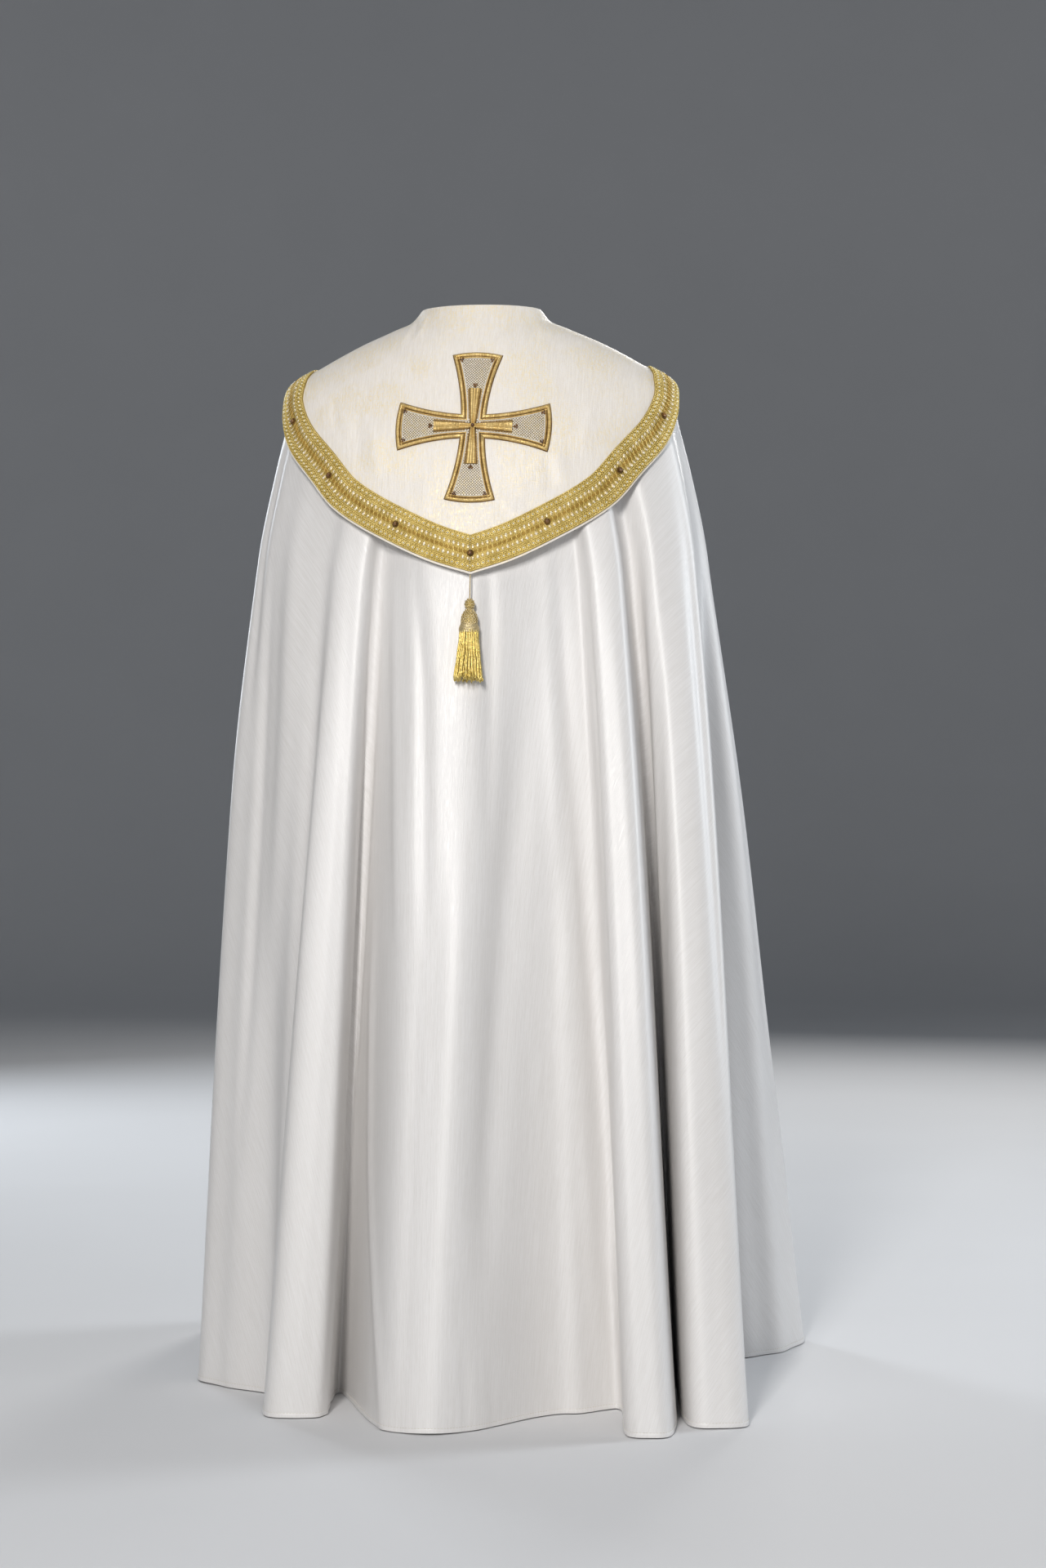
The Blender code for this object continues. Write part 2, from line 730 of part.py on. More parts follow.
def add_bead(name, base, normal):
    """Make a small bead whose foot rests at a base point."""
    mesh = bpy.data.meshes.new(name)
    builder = bmesh.new()
    bmesh.ops.create_icosphere(builder, subdivisions=2, radius=BEAD_RADIUS)
    builder.to_mesh(mesh)
    builder.free()
    bead = add_object(name, mesh, BEAD_AMBER)
    bead.location = Vector(base) + Vector(normal) * (BEAD_RADIUS + BEAD_GAP)


def add_beads():
    """Set nine beads along the middle of the braid and one on the middle of the cross."""
    margin = np.array([BRAID_MARGIN + BRAID_WIDTH / 2])
    for number, edge_turn in enumerate(BEAD_TURNS, start=1):
        turn, level = hood_inset(np.array([edge_turn]), margin)
        if edge_turn == 0:
            turn, level = hood_inset(mitre_turn(margin), margin)
        point = hood_point(turn, level, BRAID_GAP + BRAID_THICKNESS)[0]
        normal = form_normal(turn + HOOD_MIDDLE, level)[0]
        add_bead(f"braid_bead_{number}", point.tolist(), normal.tolist())
    middle = on_hood(np.zeros(2), TRIM_GAP + FIELD_THICKNESS + SEAM_GAP + INNER_THICKNESS)
    turn, level = hood_at(np.array([middle[0]]), np.array([middle[2]]))
    add_bead("cross_bead", middle.tolist(), form_normal(turn + HOOD_MIDDLE, level)[0].tolist())


# The tassel

def tassel_frame():
    """Return the tip of the hood and the tassel's axes: right, out and along it downwards."""
    level = hood_edge_level(np.zeros(1))
    tip = hood_point(np.zeros(1), level)[0]
    lean = math.radians(TASSEL_LEAN)
    down = Vector((0.0, math.sin(lean), -math.cos(lean)))
    out = Vector((0.0, math.cos(lean), math.sin(lean)))
    normal = Vector(form_normal(np.array([HOOD_MIDDLE]), level)[0])
    start = Vector(tip) - normal * CLOTH / 2 + down * SEAM_GAP
    return start, Vector((1.0, 0.0, 0.0)), out, down


def add_turned(name, profile, finish, segments=14):
    """Make a turned solid from (distance down the tassel, radius) rows."""
    start, right, out, down = tassel_frame()
    rings = []
    for distance, radius in profile:
        ring = []
        for index in range(segments):
            turn = 2 * math.pi * index / segments
            side = right * math.cos(turn) * radius + out * math.sin(turn) * radius * TASSEL_FLATNESS
            ring.append(start + down * distance + side)
        rings.append(ring)
    bridge_rings(rings, finish, name, True)


def add_tassel():
    """Make the tassel: cord, ball, bell-shaped head, band and skirt of strands."""
    start, _, _, down = tassel_frame()
    cord = bpy.data.curves.new("tassel_cord", "CURVE")
    cord.dimensions = "3D"
    cord.bevel_depth = CORD_RADIUS
    cord.bevel_resolution = 2
    cord.use_fill_caps = True
    line = cord.splines.new("POLY")
    count = 12
    line.points.add(count - 1)
    for index, point in enumerate(line.points):
        point.co = (*(start + down * CORD_LENGTH * index / (count - 1)), 1.0)
    own = material(STRAND_GOLD).copy()
    own.name = "tassel_cord gold strands"
    cord.materials.append(own)
    bpy.context.collection.objects.link(bpy.data.objects.new("tassel_cord", cord))

    ball_top = CORD_LENGTH + SEAM_GAP
    ball = []
    for step in range(1, 8):
        turn = math.pi * step / 8
        ball.append((ball_top + BALL_RADIUS * (1 - math.cos(turn)), BALL_RADIUS * math.sin(turn)))
    add_turned("tassel_ball", ball, STRAND_GOLD)

    head_top = ball[-1][0] + SEAM_GAP
    band_top = head_top + HEAD_LENGTH * 0.68
    head = (
        (head_top, 0.0055),
        (head_top + HEAD_LENGTH * 0.16, 0.0086),
        (head_top + HEAD_LENGTH * 0.42, 0.0104),
        (band_top - SEAM_GAP, 0.0116),
    )
    add_turned("tassel_head", head, PURL_GOLD)
    band_bottom = head_top + HEAD_LENGTH
    band = (
        (band_top, 0.0112),
        (band_top + 0.0020, 0.0128),
        (band_bottom - 0.0020, 0.0130),
        (band_bottom, 0.0118),
    )
    add_turned("tassel_band", band, PURL_GOLD)
    skirt_top = band_bottom + SEAM_GAP
    skirt = (
        (skirt_top, 0.0122),
        (skirt_top + SKIRT_LENGTH * 0.30, 0.0142),
        (skirt_top + SKIRT_LENGTH * 0.70, 0.0172),
        (skirt_top + SKIRT_LENGTH, 0.0196),
    )
    add_turned("tassel_skirt", skirt, STRAND_GOLD, 20)


# The clasp

def add_clasp():
    """Make the tab across the front edges at the breast, and the two hooks on its right end."""
    angles = np.linspace(180.0 + CLASP_HALF_ANGLE, 180.0 - CLASP_HALF_ANGLE, 13)
    levels = np.linspace(CLASP_LEVEL, CLASP_LEVEL + CLASP_HEIGHT, 5)
    stand = TRIM_GAP + CLOTH
    grid = form_point(angles[:, None], levels[None, :])
    grid = grid + form_normal(angles[:, None], levels[None, :]) * stand
    add_sheet("clasp_tab", grid, CLOTH, SATIN)
    for name, share in (("clasp_hook_upper", 0.25), ("clasp_hook_lower", 0.75)):
        level = CLASP_LEVEL + CLASP_HEIGHT * share
        angle = 180.0 + CLASP_HALF_ANGLE * 0.72
        normal = Vector(form_normal(angle, level))
        foot = Vector(form_point(angle, level)) + normal * (stand + TRIM_GAP)
        mesh = bpy.data.meshes.new(name)
        builder = bmesh.new()
        bmesh.ops.create_cube(builder, size=1.0, matrix=Matrix.Diagonal((*HOOK_SIZE, 1.0)))
        builder.to_mesh(mesh)
        builder.free()
        hook = add_object(name, mesh, CLASP_METAL, smooth=False)
        hook.rotation_euler = (-normal).to_track_quat("Y", "Z").to_euler()
        hook.location = foot + normal * HOOK_SIZE[1] / 2


def main():
    """Build the cope in an empty scene."""
    for old in list(bpy.data.objects):
        bpy.data.objects.remove(old, do_unlink=True)
    add_mantle()
    add_hood()
    add_braid()
    add_cross()
    add_beads()
    add_tassel()
    add_clasp()


main()
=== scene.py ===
"""The finished look of a worn semicircular cope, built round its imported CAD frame.

Units are metres, +Z is up and the garment's front faces -Y, so its left side is +X. Angles around
the body run from the middle of the back, positive towards +X; a level is a distance down the cloth
from the neck; a place is a distance-like number round the hem, from the left front edge.
"""

from __future__ import annotations

import logging
import math
from collections.abc import Callable, Sequence
from dataclasses import dataclass, field
from enum import Enum

import bmesh
import bpy
import numpy as np
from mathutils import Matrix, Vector

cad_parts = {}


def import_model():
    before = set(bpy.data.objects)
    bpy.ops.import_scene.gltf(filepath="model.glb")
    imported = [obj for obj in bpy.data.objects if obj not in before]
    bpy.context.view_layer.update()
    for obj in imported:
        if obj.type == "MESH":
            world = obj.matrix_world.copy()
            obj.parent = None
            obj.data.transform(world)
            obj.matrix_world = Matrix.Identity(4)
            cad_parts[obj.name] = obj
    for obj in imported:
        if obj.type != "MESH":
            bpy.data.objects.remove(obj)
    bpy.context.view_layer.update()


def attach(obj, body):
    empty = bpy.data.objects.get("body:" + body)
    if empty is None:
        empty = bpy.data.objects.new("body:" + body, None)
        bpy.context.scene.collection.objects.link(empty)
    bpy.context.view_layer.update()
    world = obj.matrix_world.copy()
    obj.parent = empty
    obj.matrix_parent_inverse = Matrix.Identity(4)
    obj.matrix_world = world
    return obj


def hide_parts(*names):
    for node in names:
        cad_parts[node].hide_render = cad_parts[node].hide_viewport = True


LOG = logging.getLogger("cope")
BODY = "root"

Array = np.ndarray
Colour = tuple[float, float, float]
Material = bpy.types.Material
Mesh = bpy.types.Mesh
Piece = bpy.types.Object
Socket = bpy.types.NodeSocket

# Steps that a form's slopes are measured with, in degrees and metres
TURN_STEP = 0.05
LEVEL_STEP = 0.0005
UP = np.array([0.0, 0.0, 1.0])


# Curves through a few values


def hermite(knots: Array, values: Array, tangents: Array, x: Array) -> Array:
    """Follow cubics through values with given tangents.

    Args:
        knots: Rising positions of the values.
        values: One value or point a knot.
        tangents: The slope at each knot.
        x: Where the curve is wanted.

    Returns:
        One value or point for each x.
    """
    step = np.diff(knots)
    x = np.clip(np.asarray(x, dtype=float), knots[0], knots[-1])
    cell = np.clip(np.searchsorted(knots, x, side="right") - 1, 0, len(step) - 1)
    span = step[cell]
    u = (x - knots[cell]) / span
    if values.ndim > 1:
        span, u = span[..., None], u[..., None]
    rise = values[cell + 1] - values[cell]
    start = tangents[cell] * span
    end = tangents[cell + 1] * span
    return values[cell] + u * (start + u * ((3 * rise - 2 * start - end) + u * (start + end - 2 * rise)))


def smooth_through(knots: Sequence[float], values: Sequence[float], x: Array) -> Array:
    """Follow a cubic through a few values that never overshoots them.

    Args:
        knots: Rising positions of the values.
        values: The values at the knots.
        x: Where the curve is wanted.

    Returns:
        The curve's value at each x.
    """
    knots = np.asarray(knots, dtype=float)
    values = np.asarray(values, dtype=float)
    step = np.diff(knots)
    slope = np.diff(values) / step
    same_way = slope[:-1] * slope[1:] > 0
    weight_a = 2 * step[1:] + step[:-1]
    weight_b = step[1:] + 2 * step[:-1]
    safe_a, safe_b = (np.where(same_way, part, 1.0) for part in (slope[:-1], slope[1:]))
    mean = (weight_a + weight_b) / (weight_a / safe_a + weight_b / safe_b)
    tangents = np.concatenate([slope[:1], np.where(same_way, mean, 0.0), slope[-1:]])
    return hermite(knots, values, tangents, x)


def round_through(knots: Array, points: Array, x: Array) -> Array:
    """Follow a rounded curve through points (Catmull-Rom with uneven knots)."""
    step = np.diff(knots)[:, None]
    chord = np.diff(points, axis=0) / step
    inner = (chord[:-1] * step[1:] + chord[1:] * step[:-1]) / (step[1:] + step[:-1])
    return hermite(knots, points, np.concatenate([chord[:1], inner, chord[-1:]]), x)


def ease(low: float, high: float, x: Array) -> Array:
    """Rise smoothly from 0 at low to 1 at high, or fall where high is the smaller."""
    share = np.clip((np.asarray(x, dtype=float) - low) / (high - low), 0.0, 1.0)
    return share * share * (3 - 2 * share)


def unit(vectors: Array) -> Array:
    """Return vectors at length 1."""
    return vectors / np.maximum(np.linalg.norm(vectors, axis=-1, keepdims=True), 1e-12)


def running_length(points: Array) -> Array:
    """Return the distance along a line of points, from its first."""
    return np.concatenate([[0.0], np.cumsum(np.linalg.norm(np.diff(points, axis=0), axis=1))])


def along_line(at: Array, points: Array, *tables: Array) -> list[Array]:
    """Read a line of points, and vectors that go with it, at distances along it."""
    run = running_length(points)
    read = [[np.interp(at, run, column) for column in table.T] for table in (points, *tables)]
    return [np.stack(columns, axis=1) for columns in read]


def halve(low: Array, high: Array, before: Callable[[Array], Array], rounds: int) -> Array:
    """Close in on the values where a test that is true at low and false at high changes."""
    for _ in range(rounds):
        middle = (low + high) / 2
        true = before(middle)
        low = np.where(true, middle, low)
        high = np.where(true, high, middle)
    return (low + high) / 2


def solve(a: Array, b: Array, c: Array, d: Array, e: Array, f: Array) -> tuple[Array, Array]:
    """Return x and y where a x + b y = e and c x + d y = f."""
    det = a * d - b * c
    return (e * d - f * b) / det, (a * f - c * e) / det


def crossed(across: Array, down: Array) -> Array:
    """Return the grid of pairs of two rows of numbers."""
    return np.stack(np.meshgrid(across, down, indexing="ij"), axis=-1)


def directions(degrees: Array) -> Array:
    """Return flat unit vectors at angles in degrees."""
    return np.stack([np.cos(np.radians(degrees)), np.sin(np.radians(degrees))], axis=-1)


# The form under the cloth, as in the CAD


@dataclass(frozen=True)
class Ring:
    """One level of the smooth form that the cloth hangs over."""

    name: str
    half_width: float
    back: float
    front: float
    z_back: float
    z_side: float
    z_front: float


@dataclass(frozen=True)
class Fold:
    """One fold of the mantle: its crest at the hem, the valley after it, and where it starts."""

    name: str
    crest_x: float
    crest_y: float
    half_width: float
    crest_angle: float
    valley_x: float
    valley_y: float
    valley_angle: float
    start: float


RINGS = (
    Ring("neck edge", 0.080, 0.056, 0.066, 0.026, 0.026, -0.030),
    Ring("foot of the neck", 0.094, 0.074, 0.082, -0.006, 0.008, -0.052),
    Ring("inner shoulder", 0.120, 0.094, 0.098, -0.040, -0.004, -0.076),
    Ring("middle shoulder", 0.165, 0.116, 0.115, -0.085, -0.024, -0.105),
    Ring("outer shoulder", 0.215, 0.134, 0.130, -0.140, -0.053, -0.140),
    Ring("shoulder tip", 0.257, 0.147, 0.142, -0.195, -0.083, -0.180),
    Ring("below the tip", 0.268, 0.154, 0.150, -0.240, -0.128, -0.225),
    Ring("upper arm", 0.284, 0.162, 0.160, -0.290, -0.195, -0.280),
    Ring("arm", 0.304, 0.174, 0.176, -0.370, -0.310, -0.365),
    Ring("hem", 0.365, 0.320, 0.390, -1.432, -1.432, -1.432),
)

# From the left front edge, round the back, to the right front edge
FOLDS = (
    Fold("left edge roll", 0.105, -0.440, 0.022, 167.0, 0.160, -0.350, 158.0, 0.30),
    Fold("left front", 0.235, -0.452, 0.035, 148.0, 0.285, -0.325, 137.0, 0.28),
    Fold("left flare", 0.408, -0.366, 0.050, 122.0, 0.310, -0.120, 102.0, 0.22),
    Fold("left side", 0.340, 0.100, 0.085, 70.0, 0.262, 0.218, 39.0, 0.18),
    Fold("left back", 0.212, 0.286, 0.034, 31.0, 0.178, 0.128, 22.5, 0.16),
    Fold("centre back", 0.030, 0.356, 0.050, 5.0, -0.098, 0.250, -13.0, 0.20),
    Fold("centre slope", -0.150, 0.224, 0.020, -20.0, -0.198, 0.188, -27.0, 0.20),
    Fold("right back", -0.248, 0.356, 0.024, -35.0, -0.268, 0.060, -43.0, 0.16),
    Fold("right side", -0.336, 0.292, 0.034, -62.0, -0.300, -0.040, -84.0, 0.18),
    Fold("right flare", -0.403, -0.334, 0.055, -112.0, -0.285, -0.330, -136.0, 0.22),
    Fold("right front", -0.240, -0.455, 0.035, -147.0, -0.160, -0.355, -158.0, 0.28),
)


@dataclass
class BodyForm:
    """The smooth shoulders and body that carry the cloth."""

    rings: tuple[Ring, ...] = RINGS
    steps: int = 12000
    levels: Array = field(init=False)
    table: Array = field(init=False)

    def __post_init__(self) -> None:
        """Work out each ring's distance down the cloth, the mean of its back and its side."""
        levels = [0.0]
        for upper, lower in zip(self.rings, self.rings[1:]):
            down_back = math.hypot(lower.back - upper.back, lower.z_back - upper.z_back)
            down_side = math.hypot(lower.half_width - upper.half_width, lower.z_side - upper.z_side)
            levels.append(levels[-1] + (down_back + down_side) / 2)
        self.levels = np.array(levels)
        fine = np.linspace(0.0, self.hem_level, self.steps + 1)
        names = ("half_width", "back", "front", "z_back", "z_side", "z_front")
        columns = [[getattr(ring, name) for ring in self.rings] for name in names]
        self.table = np.stack([smooth_through(self.levels, column, fine) for column in columns])

    @property
    def hem_level(self) -> float:
        """The level of the hem."""
        return float(self.levels[-1])

    @property
    def arm_level(self) -> float:
        """The level of the last ring above the hem."""
        return float(self.levels[-2])

    def point(self, angle: Array, level: Array) -> Array:
        """Return points of the form at angles in degrees and levels."""
        angle, level = np.broadcast_arrays(np.asarray(angle, float), np.asarray(level, float))
        sine = np.sin(np.radians(angle))
        cosine = np.cos(np.radians(angle))
        row = np.clip(level * (self.steps / self.hem_level), 0.0, self.steps - 1e-6)
        whole = row.astype(int)
        sizes = self.table[:, whole] + (self.table[:, whole + 1] - self.table[:, whole]) * (row - whole)
        half_width, back, front, z_back, z_side, z_front = sizes
        depth = np.where(cosine > 0, back, front)
        z_end = np.where(cosine > 0, z_back, z_front)
        z = z_end * cosine ** 2 + z_side * sine ** 2
        return np.stack([half_width * sine, depth * cosine, z], axis=-1)

    def normal(self, angle: Array, level: Array) -> Array:
        """Return the outward unit normals of the form."""
        angle = np.asarray(angle, float)
        level = np.asarray(level, float)
        low, high = (np.clip(level + step, 0.0, self.hem_level) for step in (-LEVEL_STEP, LEVEL_STEP))
        across = self.point(angle + TURN_STEP, level) - self.point(angle - TURN_STEP, level)
        return unit(np.cross(across, self.point(angle, high) - self.point(angle, low)))


@dataclass
class MantleShape:
    """The draped mantle: the form near the shoulders, the folds' plan at the hem."""

    form: BodyForm
    folds: tuple[Fold, ...] = FOLDS
    left_edge: tuple[float, ...] = (0.055, -0.400, 175.0, 0.30)
    right_roll: tuple[float, ...] = (-0.108, -0.442, -167.0, 0.30)
    right_edge: tuple[float, ...] = (-0.055, -0.402, -175.0, 0.30)
    crest_drop: float = 0.25
    growth: float = 1.10
    knots: Array = field(init=False)
    plan: Array = field(init=False)
    angles: Array = field(init=False)
    starts: Array = field(init=False)

    def __post_init__(self) -> None:
        """Lay out the hem's keys from the folds."""
        keys = self.hem_keys()
        self.plan = np.array([key[:2] for key in keys])
        self.angles = np.array([key[2] for key in keys])
        self.starts = np.array([key[3] for key in keys])
        steps = np.sqrt(np.linalg.norm(np.diff(self.plan, axis=0), axis=1))
        self.knots = np.concatenate([[0.0], np.cumsum(steps)])

    def hem_keys(self) -> list[tuple[float, ...]]:
        """Return the hem's keys as (x, y, shoulder angle, start)."""
        keys = [self.left_edge]
        valley = self.left_edge
        for fold in self.folds:
            following = (fold.valley_x, fold.valley_y, fold.valley_angle, fold.start)
            crest = Vector((fold.crest_x, fold.crest_y))
            foot = (Vector(valley[:2]) + Vector(following[:2])) / 2
            outward = (crest - foot).normalized()
            sideways = Vector((-outward.y, outward.x))
            if sideways.dot(Vector(following[:2]) - Vector(valley[:2])) < 0:
                sideways = -sideways
            for side, neighbour in ((-1, valley), (0, None), (1, following)):
                place = crest + (sideways * side - outward * abs(side) * self.crest_drop) * fold.half_width
                angle = fold.crest_angle
                if neighbour is not None:
                    angle += (neighbour[2] - fold.crest_angle) * 0.4
                keys.append((place.x, place.y, angle, fold.start))
            keys.append(following)
            valley = following
        keys.extend([self.right_roll, self.right_edge])
        return keys

    def seam(self, fold_index: int) -> float:
        """Return the place of a fold's valley, where a seam lies."""
        return float(self.knots[4 * (fold_index + 1)])

    def crest(self, fold_index: int) -> float:
        """Return the place of a fold's crest."""
        return float(self.knots[4 * fold_index + 2])

    def point(self, place: Array, level: Array) -> Array:
        """Return points of the mantle's outer face."""
        place, level = np.broadcast_arrays(np.asarray(place, float), np.asarray(level, float))
        angle = smooth_through(self.knots, self.angles, place)
        hem = round_through(self.knots, self.plan, place)
        foot = self.form.point(angle, np.full_like(level, self.form.hem_level))
        start = smooth_through(self.knots, self.starts, place)
        share = np.clip((level - start) / (self.form.hem_level - start), 0.0, 1.0) ** self.growth
        point = self.form.point(angle, level)
        point[..., 0] += (hem[..., 0] - foot[..., 0]) * share
        point[..., 1] += (hem[..., 1] - foot[..., 1]) * share
        return point


HOOD_EDGE_TURNS = (0.0, 9.5, 22.0, 39.5, 51.0, 65.0, 76.0, 83.0, 91.0, 110.0, 132.0, 150.0)
HOOD_EDGE_HEIGHTS = (-0.348, -0.332, -0.303, -0.256, -0.212, -0.168, -0.128, -0.099, -0.085, -0.084,
                     -0.099, -0.113)


@dataclass
class HoodShape:
    """The pointed hood that lies on the shoulders, and lines drawn on it."""

    form: BodyForm
    cloth: float = 0.0020
    neck_gap: float = 0.0005
    rest_gap: float = 0.0024
    neck_reach: float = 0.05
    lift: float = 0.0120
    lift_levels: tuple[float, float] = (0.10, 0.38)
    middle: float = -1.0
    end: float = 150.0
    largest_mitre: float = 30.0
    back_radius: float = 0.2
    first_level: float = 0.2

    def point(self, turn: Array, level: Array, out: float = 0.0) -> Array:
        """Return the hood's outer face at turns from its middle, or points further out."""
        level = np.asarray(level, float)
        near_neck = np.clip(level / self.neck_reach, 0.0, 1.0)
        gap = self.neck_gap + (self.rest_gap - self.neck_gap) * near_neck
        stand = gap + self.lift * ease(*self.lift_levels, level) + self.cloth + out
        angle = np.asarray(turn, float) + self.middle
        return self.form.point(angle, level) + self.form.normal(angle, level) * stand[..., None]

    def slopes(self, turn: Array, level: Array) -> tuple[Array, Array, Array]:
        """Return a hood point and how it moves with the turn and with the level."""
        here = self.point(turn, level)
        by_turn = (self.point(turn + TURN_STEP, level) - here) / TURN_STEP
        return here, by_turn, (self.point(turn, level + LEVEL_STEP) - here) / LEVEL_STEP

    def edge_level(self, turn: Array) -> Array:
        """Return the level of the hood's edge at a turn from its middle."""
        height = smooth_through(HOOD_EDGE_TURNS, HOOD_EDGE_HEIGHTS, np.abs(turn))
        low = np.zeros_like(np.asarray(turn, float))
        return halve(low, np.full_like(low, self.form.arm_level),
                     lambda level: self.form.point(turn, level)[..., 2] > height, 40)

    def inset(self, turn: Array, margin: Array, steps: int = 8) -> tuple[Array, Array]:
        """Return turn and level on the hood at a distance in from a point of its edge."""
        turn, margin = np.broadcast_arrays(np.asarray(turn, float), np.asarray(margin, float))
        side = np.where(turn < 0, -1.0, 1.0)
        level = self.edge_level(turn)
        nudge = 0.2 * side
        along = unit(self.point(turn + nudge, self.edge_level(turn + nudge)) - self.point(turn, level))
        for _ in range(steps):
            _, by_turn, by_level = self.slopes(turn, level)
            inward = np.cross(self.form.normal(turn + self.middle, level), along) * -side[..., None]
            move = inward * (margin / steps)[..., None]
            tt, tl, mt = ((by_turn * part).sum(-1) for part in (by_turn, by_level, move))
            ll, ml = ((by_level * part).sum(-1) for part in (by_level, move))
            more_turn, more_level = solve(tt, tl, tl, ll, mt, ml)
            turn, level = turn + more_turn, level + more_level
        return turn, level

    def mitre_turn(self, margin: Array) -> Array:
        """Return the turn of the edge point whose inset line meets the hood's middle."""
        return halve(np.zeros_like(margin), np.full_like(margin, self.largest_mitre),
                     lambda turn: self.inset(turn, margin)[0] < 0, 30)

    def band(self, side: int, shares: Array, margins: Array) -> tuple[Array, Array]:
        """Return turn and level of lines that run along the hood's edge.

        Args:
            side: 1 for the garment's left half, -1 for the right.
            shares: Places along each line, 0 at the hood's tip and 1 at its front end.
            margins: Each line's distance in from the edge.

        Returns:
            Turns and levels, one row for each share.
        """
        starts = self.mitre_turn(margins)
        edge_turn = side * (starts + (self.end - starts) * shares[:, None])
        turn, level = self.inset(edge_turn, margins)
        turn[shares == 0] = 0.0
        return turn, level

    def at(self, x: Array, z: Array) -> tuple[Array, Array]:
        """Return turn and level of the points on the hood's back with this x and z."""
        turn = np.degrees(np.arcsin(np.clip(np.asarray(x, float) / self.back_radius, -0.95, 0.95)))
        level = np.full_like(turn, self.first_level)
        for _ in range(12):
            here, by_turn, by_level = self.slopes(turn, level)
            (a, _, c), (b, _, d), (e, _, f) = (np.moveaxis(part, -1, 0) for part in (by_turn, by_level, here))
            more_turn, more_level = solve(a, b, c, d, x - e, z - f)
            turn = turn + more_turn
            level = np.clip(level + more_level, 0.001, self.form.arm_level)
        return turn, level


@dataclass
class Bed:
    """A surface given by a grid of points, on which threads and stitches are laid."""

    across: Array
    down: Array
    points: Array
    normals: Array = field(init=False)

    def __post_init__(self) -> None:
        """Work out the grid's outward normals."""
        self.renew()

    def renew(self) -> None:
        """Work out the normals again after the points have moved."""
        by_across = np.gradient(self.points, axis=0)
        by_down = np.gradient(self.points, axis=1)
        self.normals = unit(np.cross(by_across, by_down))
        away = self.points * np.array([1.0, 1.0, 0.0])
        if (self.normals * away).sum() < 0:
            self.normals = -self.normals

    def at(self, across: Array, down: Array, out: Array | float = 0.0) -> tuple[Array, Array]:
        """Find points on the bed, or a little above it.

        Args:
            across: First coordinate of the points.
            down: Second coordinate of the points.
            out: Height above the bed.

        Returns:
            The points and the bed's normals there.
        """
        across, down, out = np.broadcast_arrays(
            np.asarray(across, float), np.asarray(down, float), np.asarray(out, float)
        )
        i = np.clip(np.searchsorted(self.across, across, side="right") - 1, 0, len(self.across) - 2)
        j = np.clip(np.searchsorted(self.down, down, side="right") - 1, 0, len(self.down) - 2)
        u = ((across - self.across[i]) / (self.across[i + 1] - self.across[i]))[..., None]
        v = ((down - self.down[j]) / (self.down[j + 1] - self.down[j]))[..., None]

        def blend(values: Array) -> Array:
            """Read a table between its four nearest entries."""
            near = values[i, j] * (1 - u) + values[i + 1, j] * u
            far = values[i, j + 1] * (1 - u) + values[i + 1, j + 1] * u
            return near * (1 - v) + far * v

        normal = unit(blend(self.normals))
        return blend(self.points) + normal * out[..., None], normal


# Meshes


def settle(piece: Piece) -> Piece:
    """Turn a piece and its modifiers into a plain mesh."""
    graph = bpy.context.evaluated_depsgraph_get()
    mesh = bpy.data.meshes.new_from_object(piece.evaluated_get(graph), depsgraph=graph)
    piece.modifiers.clear()
    piece.data = mesh
    mesh.name = piece.name
    return piece


def link(name: str, data: bpy.types.ID) -> Piece:
    """Put a mesh, a light or a camera into the scene."""
    held = bpy.data.objects.new(name, data)
    bpy.context.collection.objects.link(held)
    return held


def add_piece(name: str, mesh: Mesh, surface: Material) -> Piece:
    """Link a mesh as a smooth-shaded piece."""
    mesh.materials.append(surface)
    mesh.shade_smooth()
    return link(name, mesh)


def fit(piece: Piece, slot: str, *nodes: str) -> Piece:
    """Let a piece ride on the garment and hide the CAD nodes that it stands for."""
    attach(piece, BODY)
    if nodes:
        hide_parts(*nodes)
    return piece


def grid_mesh(name: str, points: Array, uv: Array | None = None, loop_across: bool = False,
              loop_down: bool = False) -> Mesh:
    """Make quads over a grid of points.

    Args:
        name: The mesh's name.
        points: Points by column and row.
        uv: Texture coordinates in metres, by column and row.
        loop_across: Joins the last column to the first.
        loop_down: Joins the last row to the first.

    Returns:
        The mesh, whose faces point outwards where columns run left to right and rows run down.
    """
    columns, rows = points.shape[:2]
    i = np.arange(columns if loop_across else columns - 1)[:, None]
    j = np.arange(rows if loop_down else rows - 1)[None, :]
    right = (i + 1) % columns
    below = (j + 1) % rows
    corners = [i * rows + j, i * rows + below, right * rows + below, right * rows + j]
    faces = np.stack(corners, axis=-1).reshape(-1, 4)
    mesh = bpy.data.meshes.new(name)
    mesh.from_pydata(points.reshape(-1, 3).tolist(), [], faces.tolist())
    if uv is not None:
        layer = mesh.uv_layers.new(name="cut")
        layer.data.foreach_set("uv", uv.reshape(-1, 2)[faces.reshape(-1)].astype(np.float32).ravel())
    return mesh


def wall(piece: Piece, thickness: float) -> Piece:
    """Give a sheet its thickness, inwards from its outer face, and keep its rim crisp."""
    solid = piece.modifiers.new("wall", "SOLIDIFY")
    solid.thickness = thickness
    solid.offset = -1.0
    return sharpen(settle(piece), 50.0)


def sharpen(piece: Piece, degrees: float) -> Piece:
    """Keep the edges crisp that turn by more than an angle."""
    piece.data.set_sharp_from_angle(angle=math.radians(degrees))
    return piece


def joined_mesh(name: str, meshes: Sequence[Mesh]) -> Mesh:
    """Put several meshes together into one."""
    builder = bmesh.new()
    for part in meshes:
        builder.from_mesh(part)
        bpy.data.meshes.remove(part)
    mesh = bpy.data.meshes.new(name)
    builder.to_mesh(mesh)
    builder.free()
    return mesh


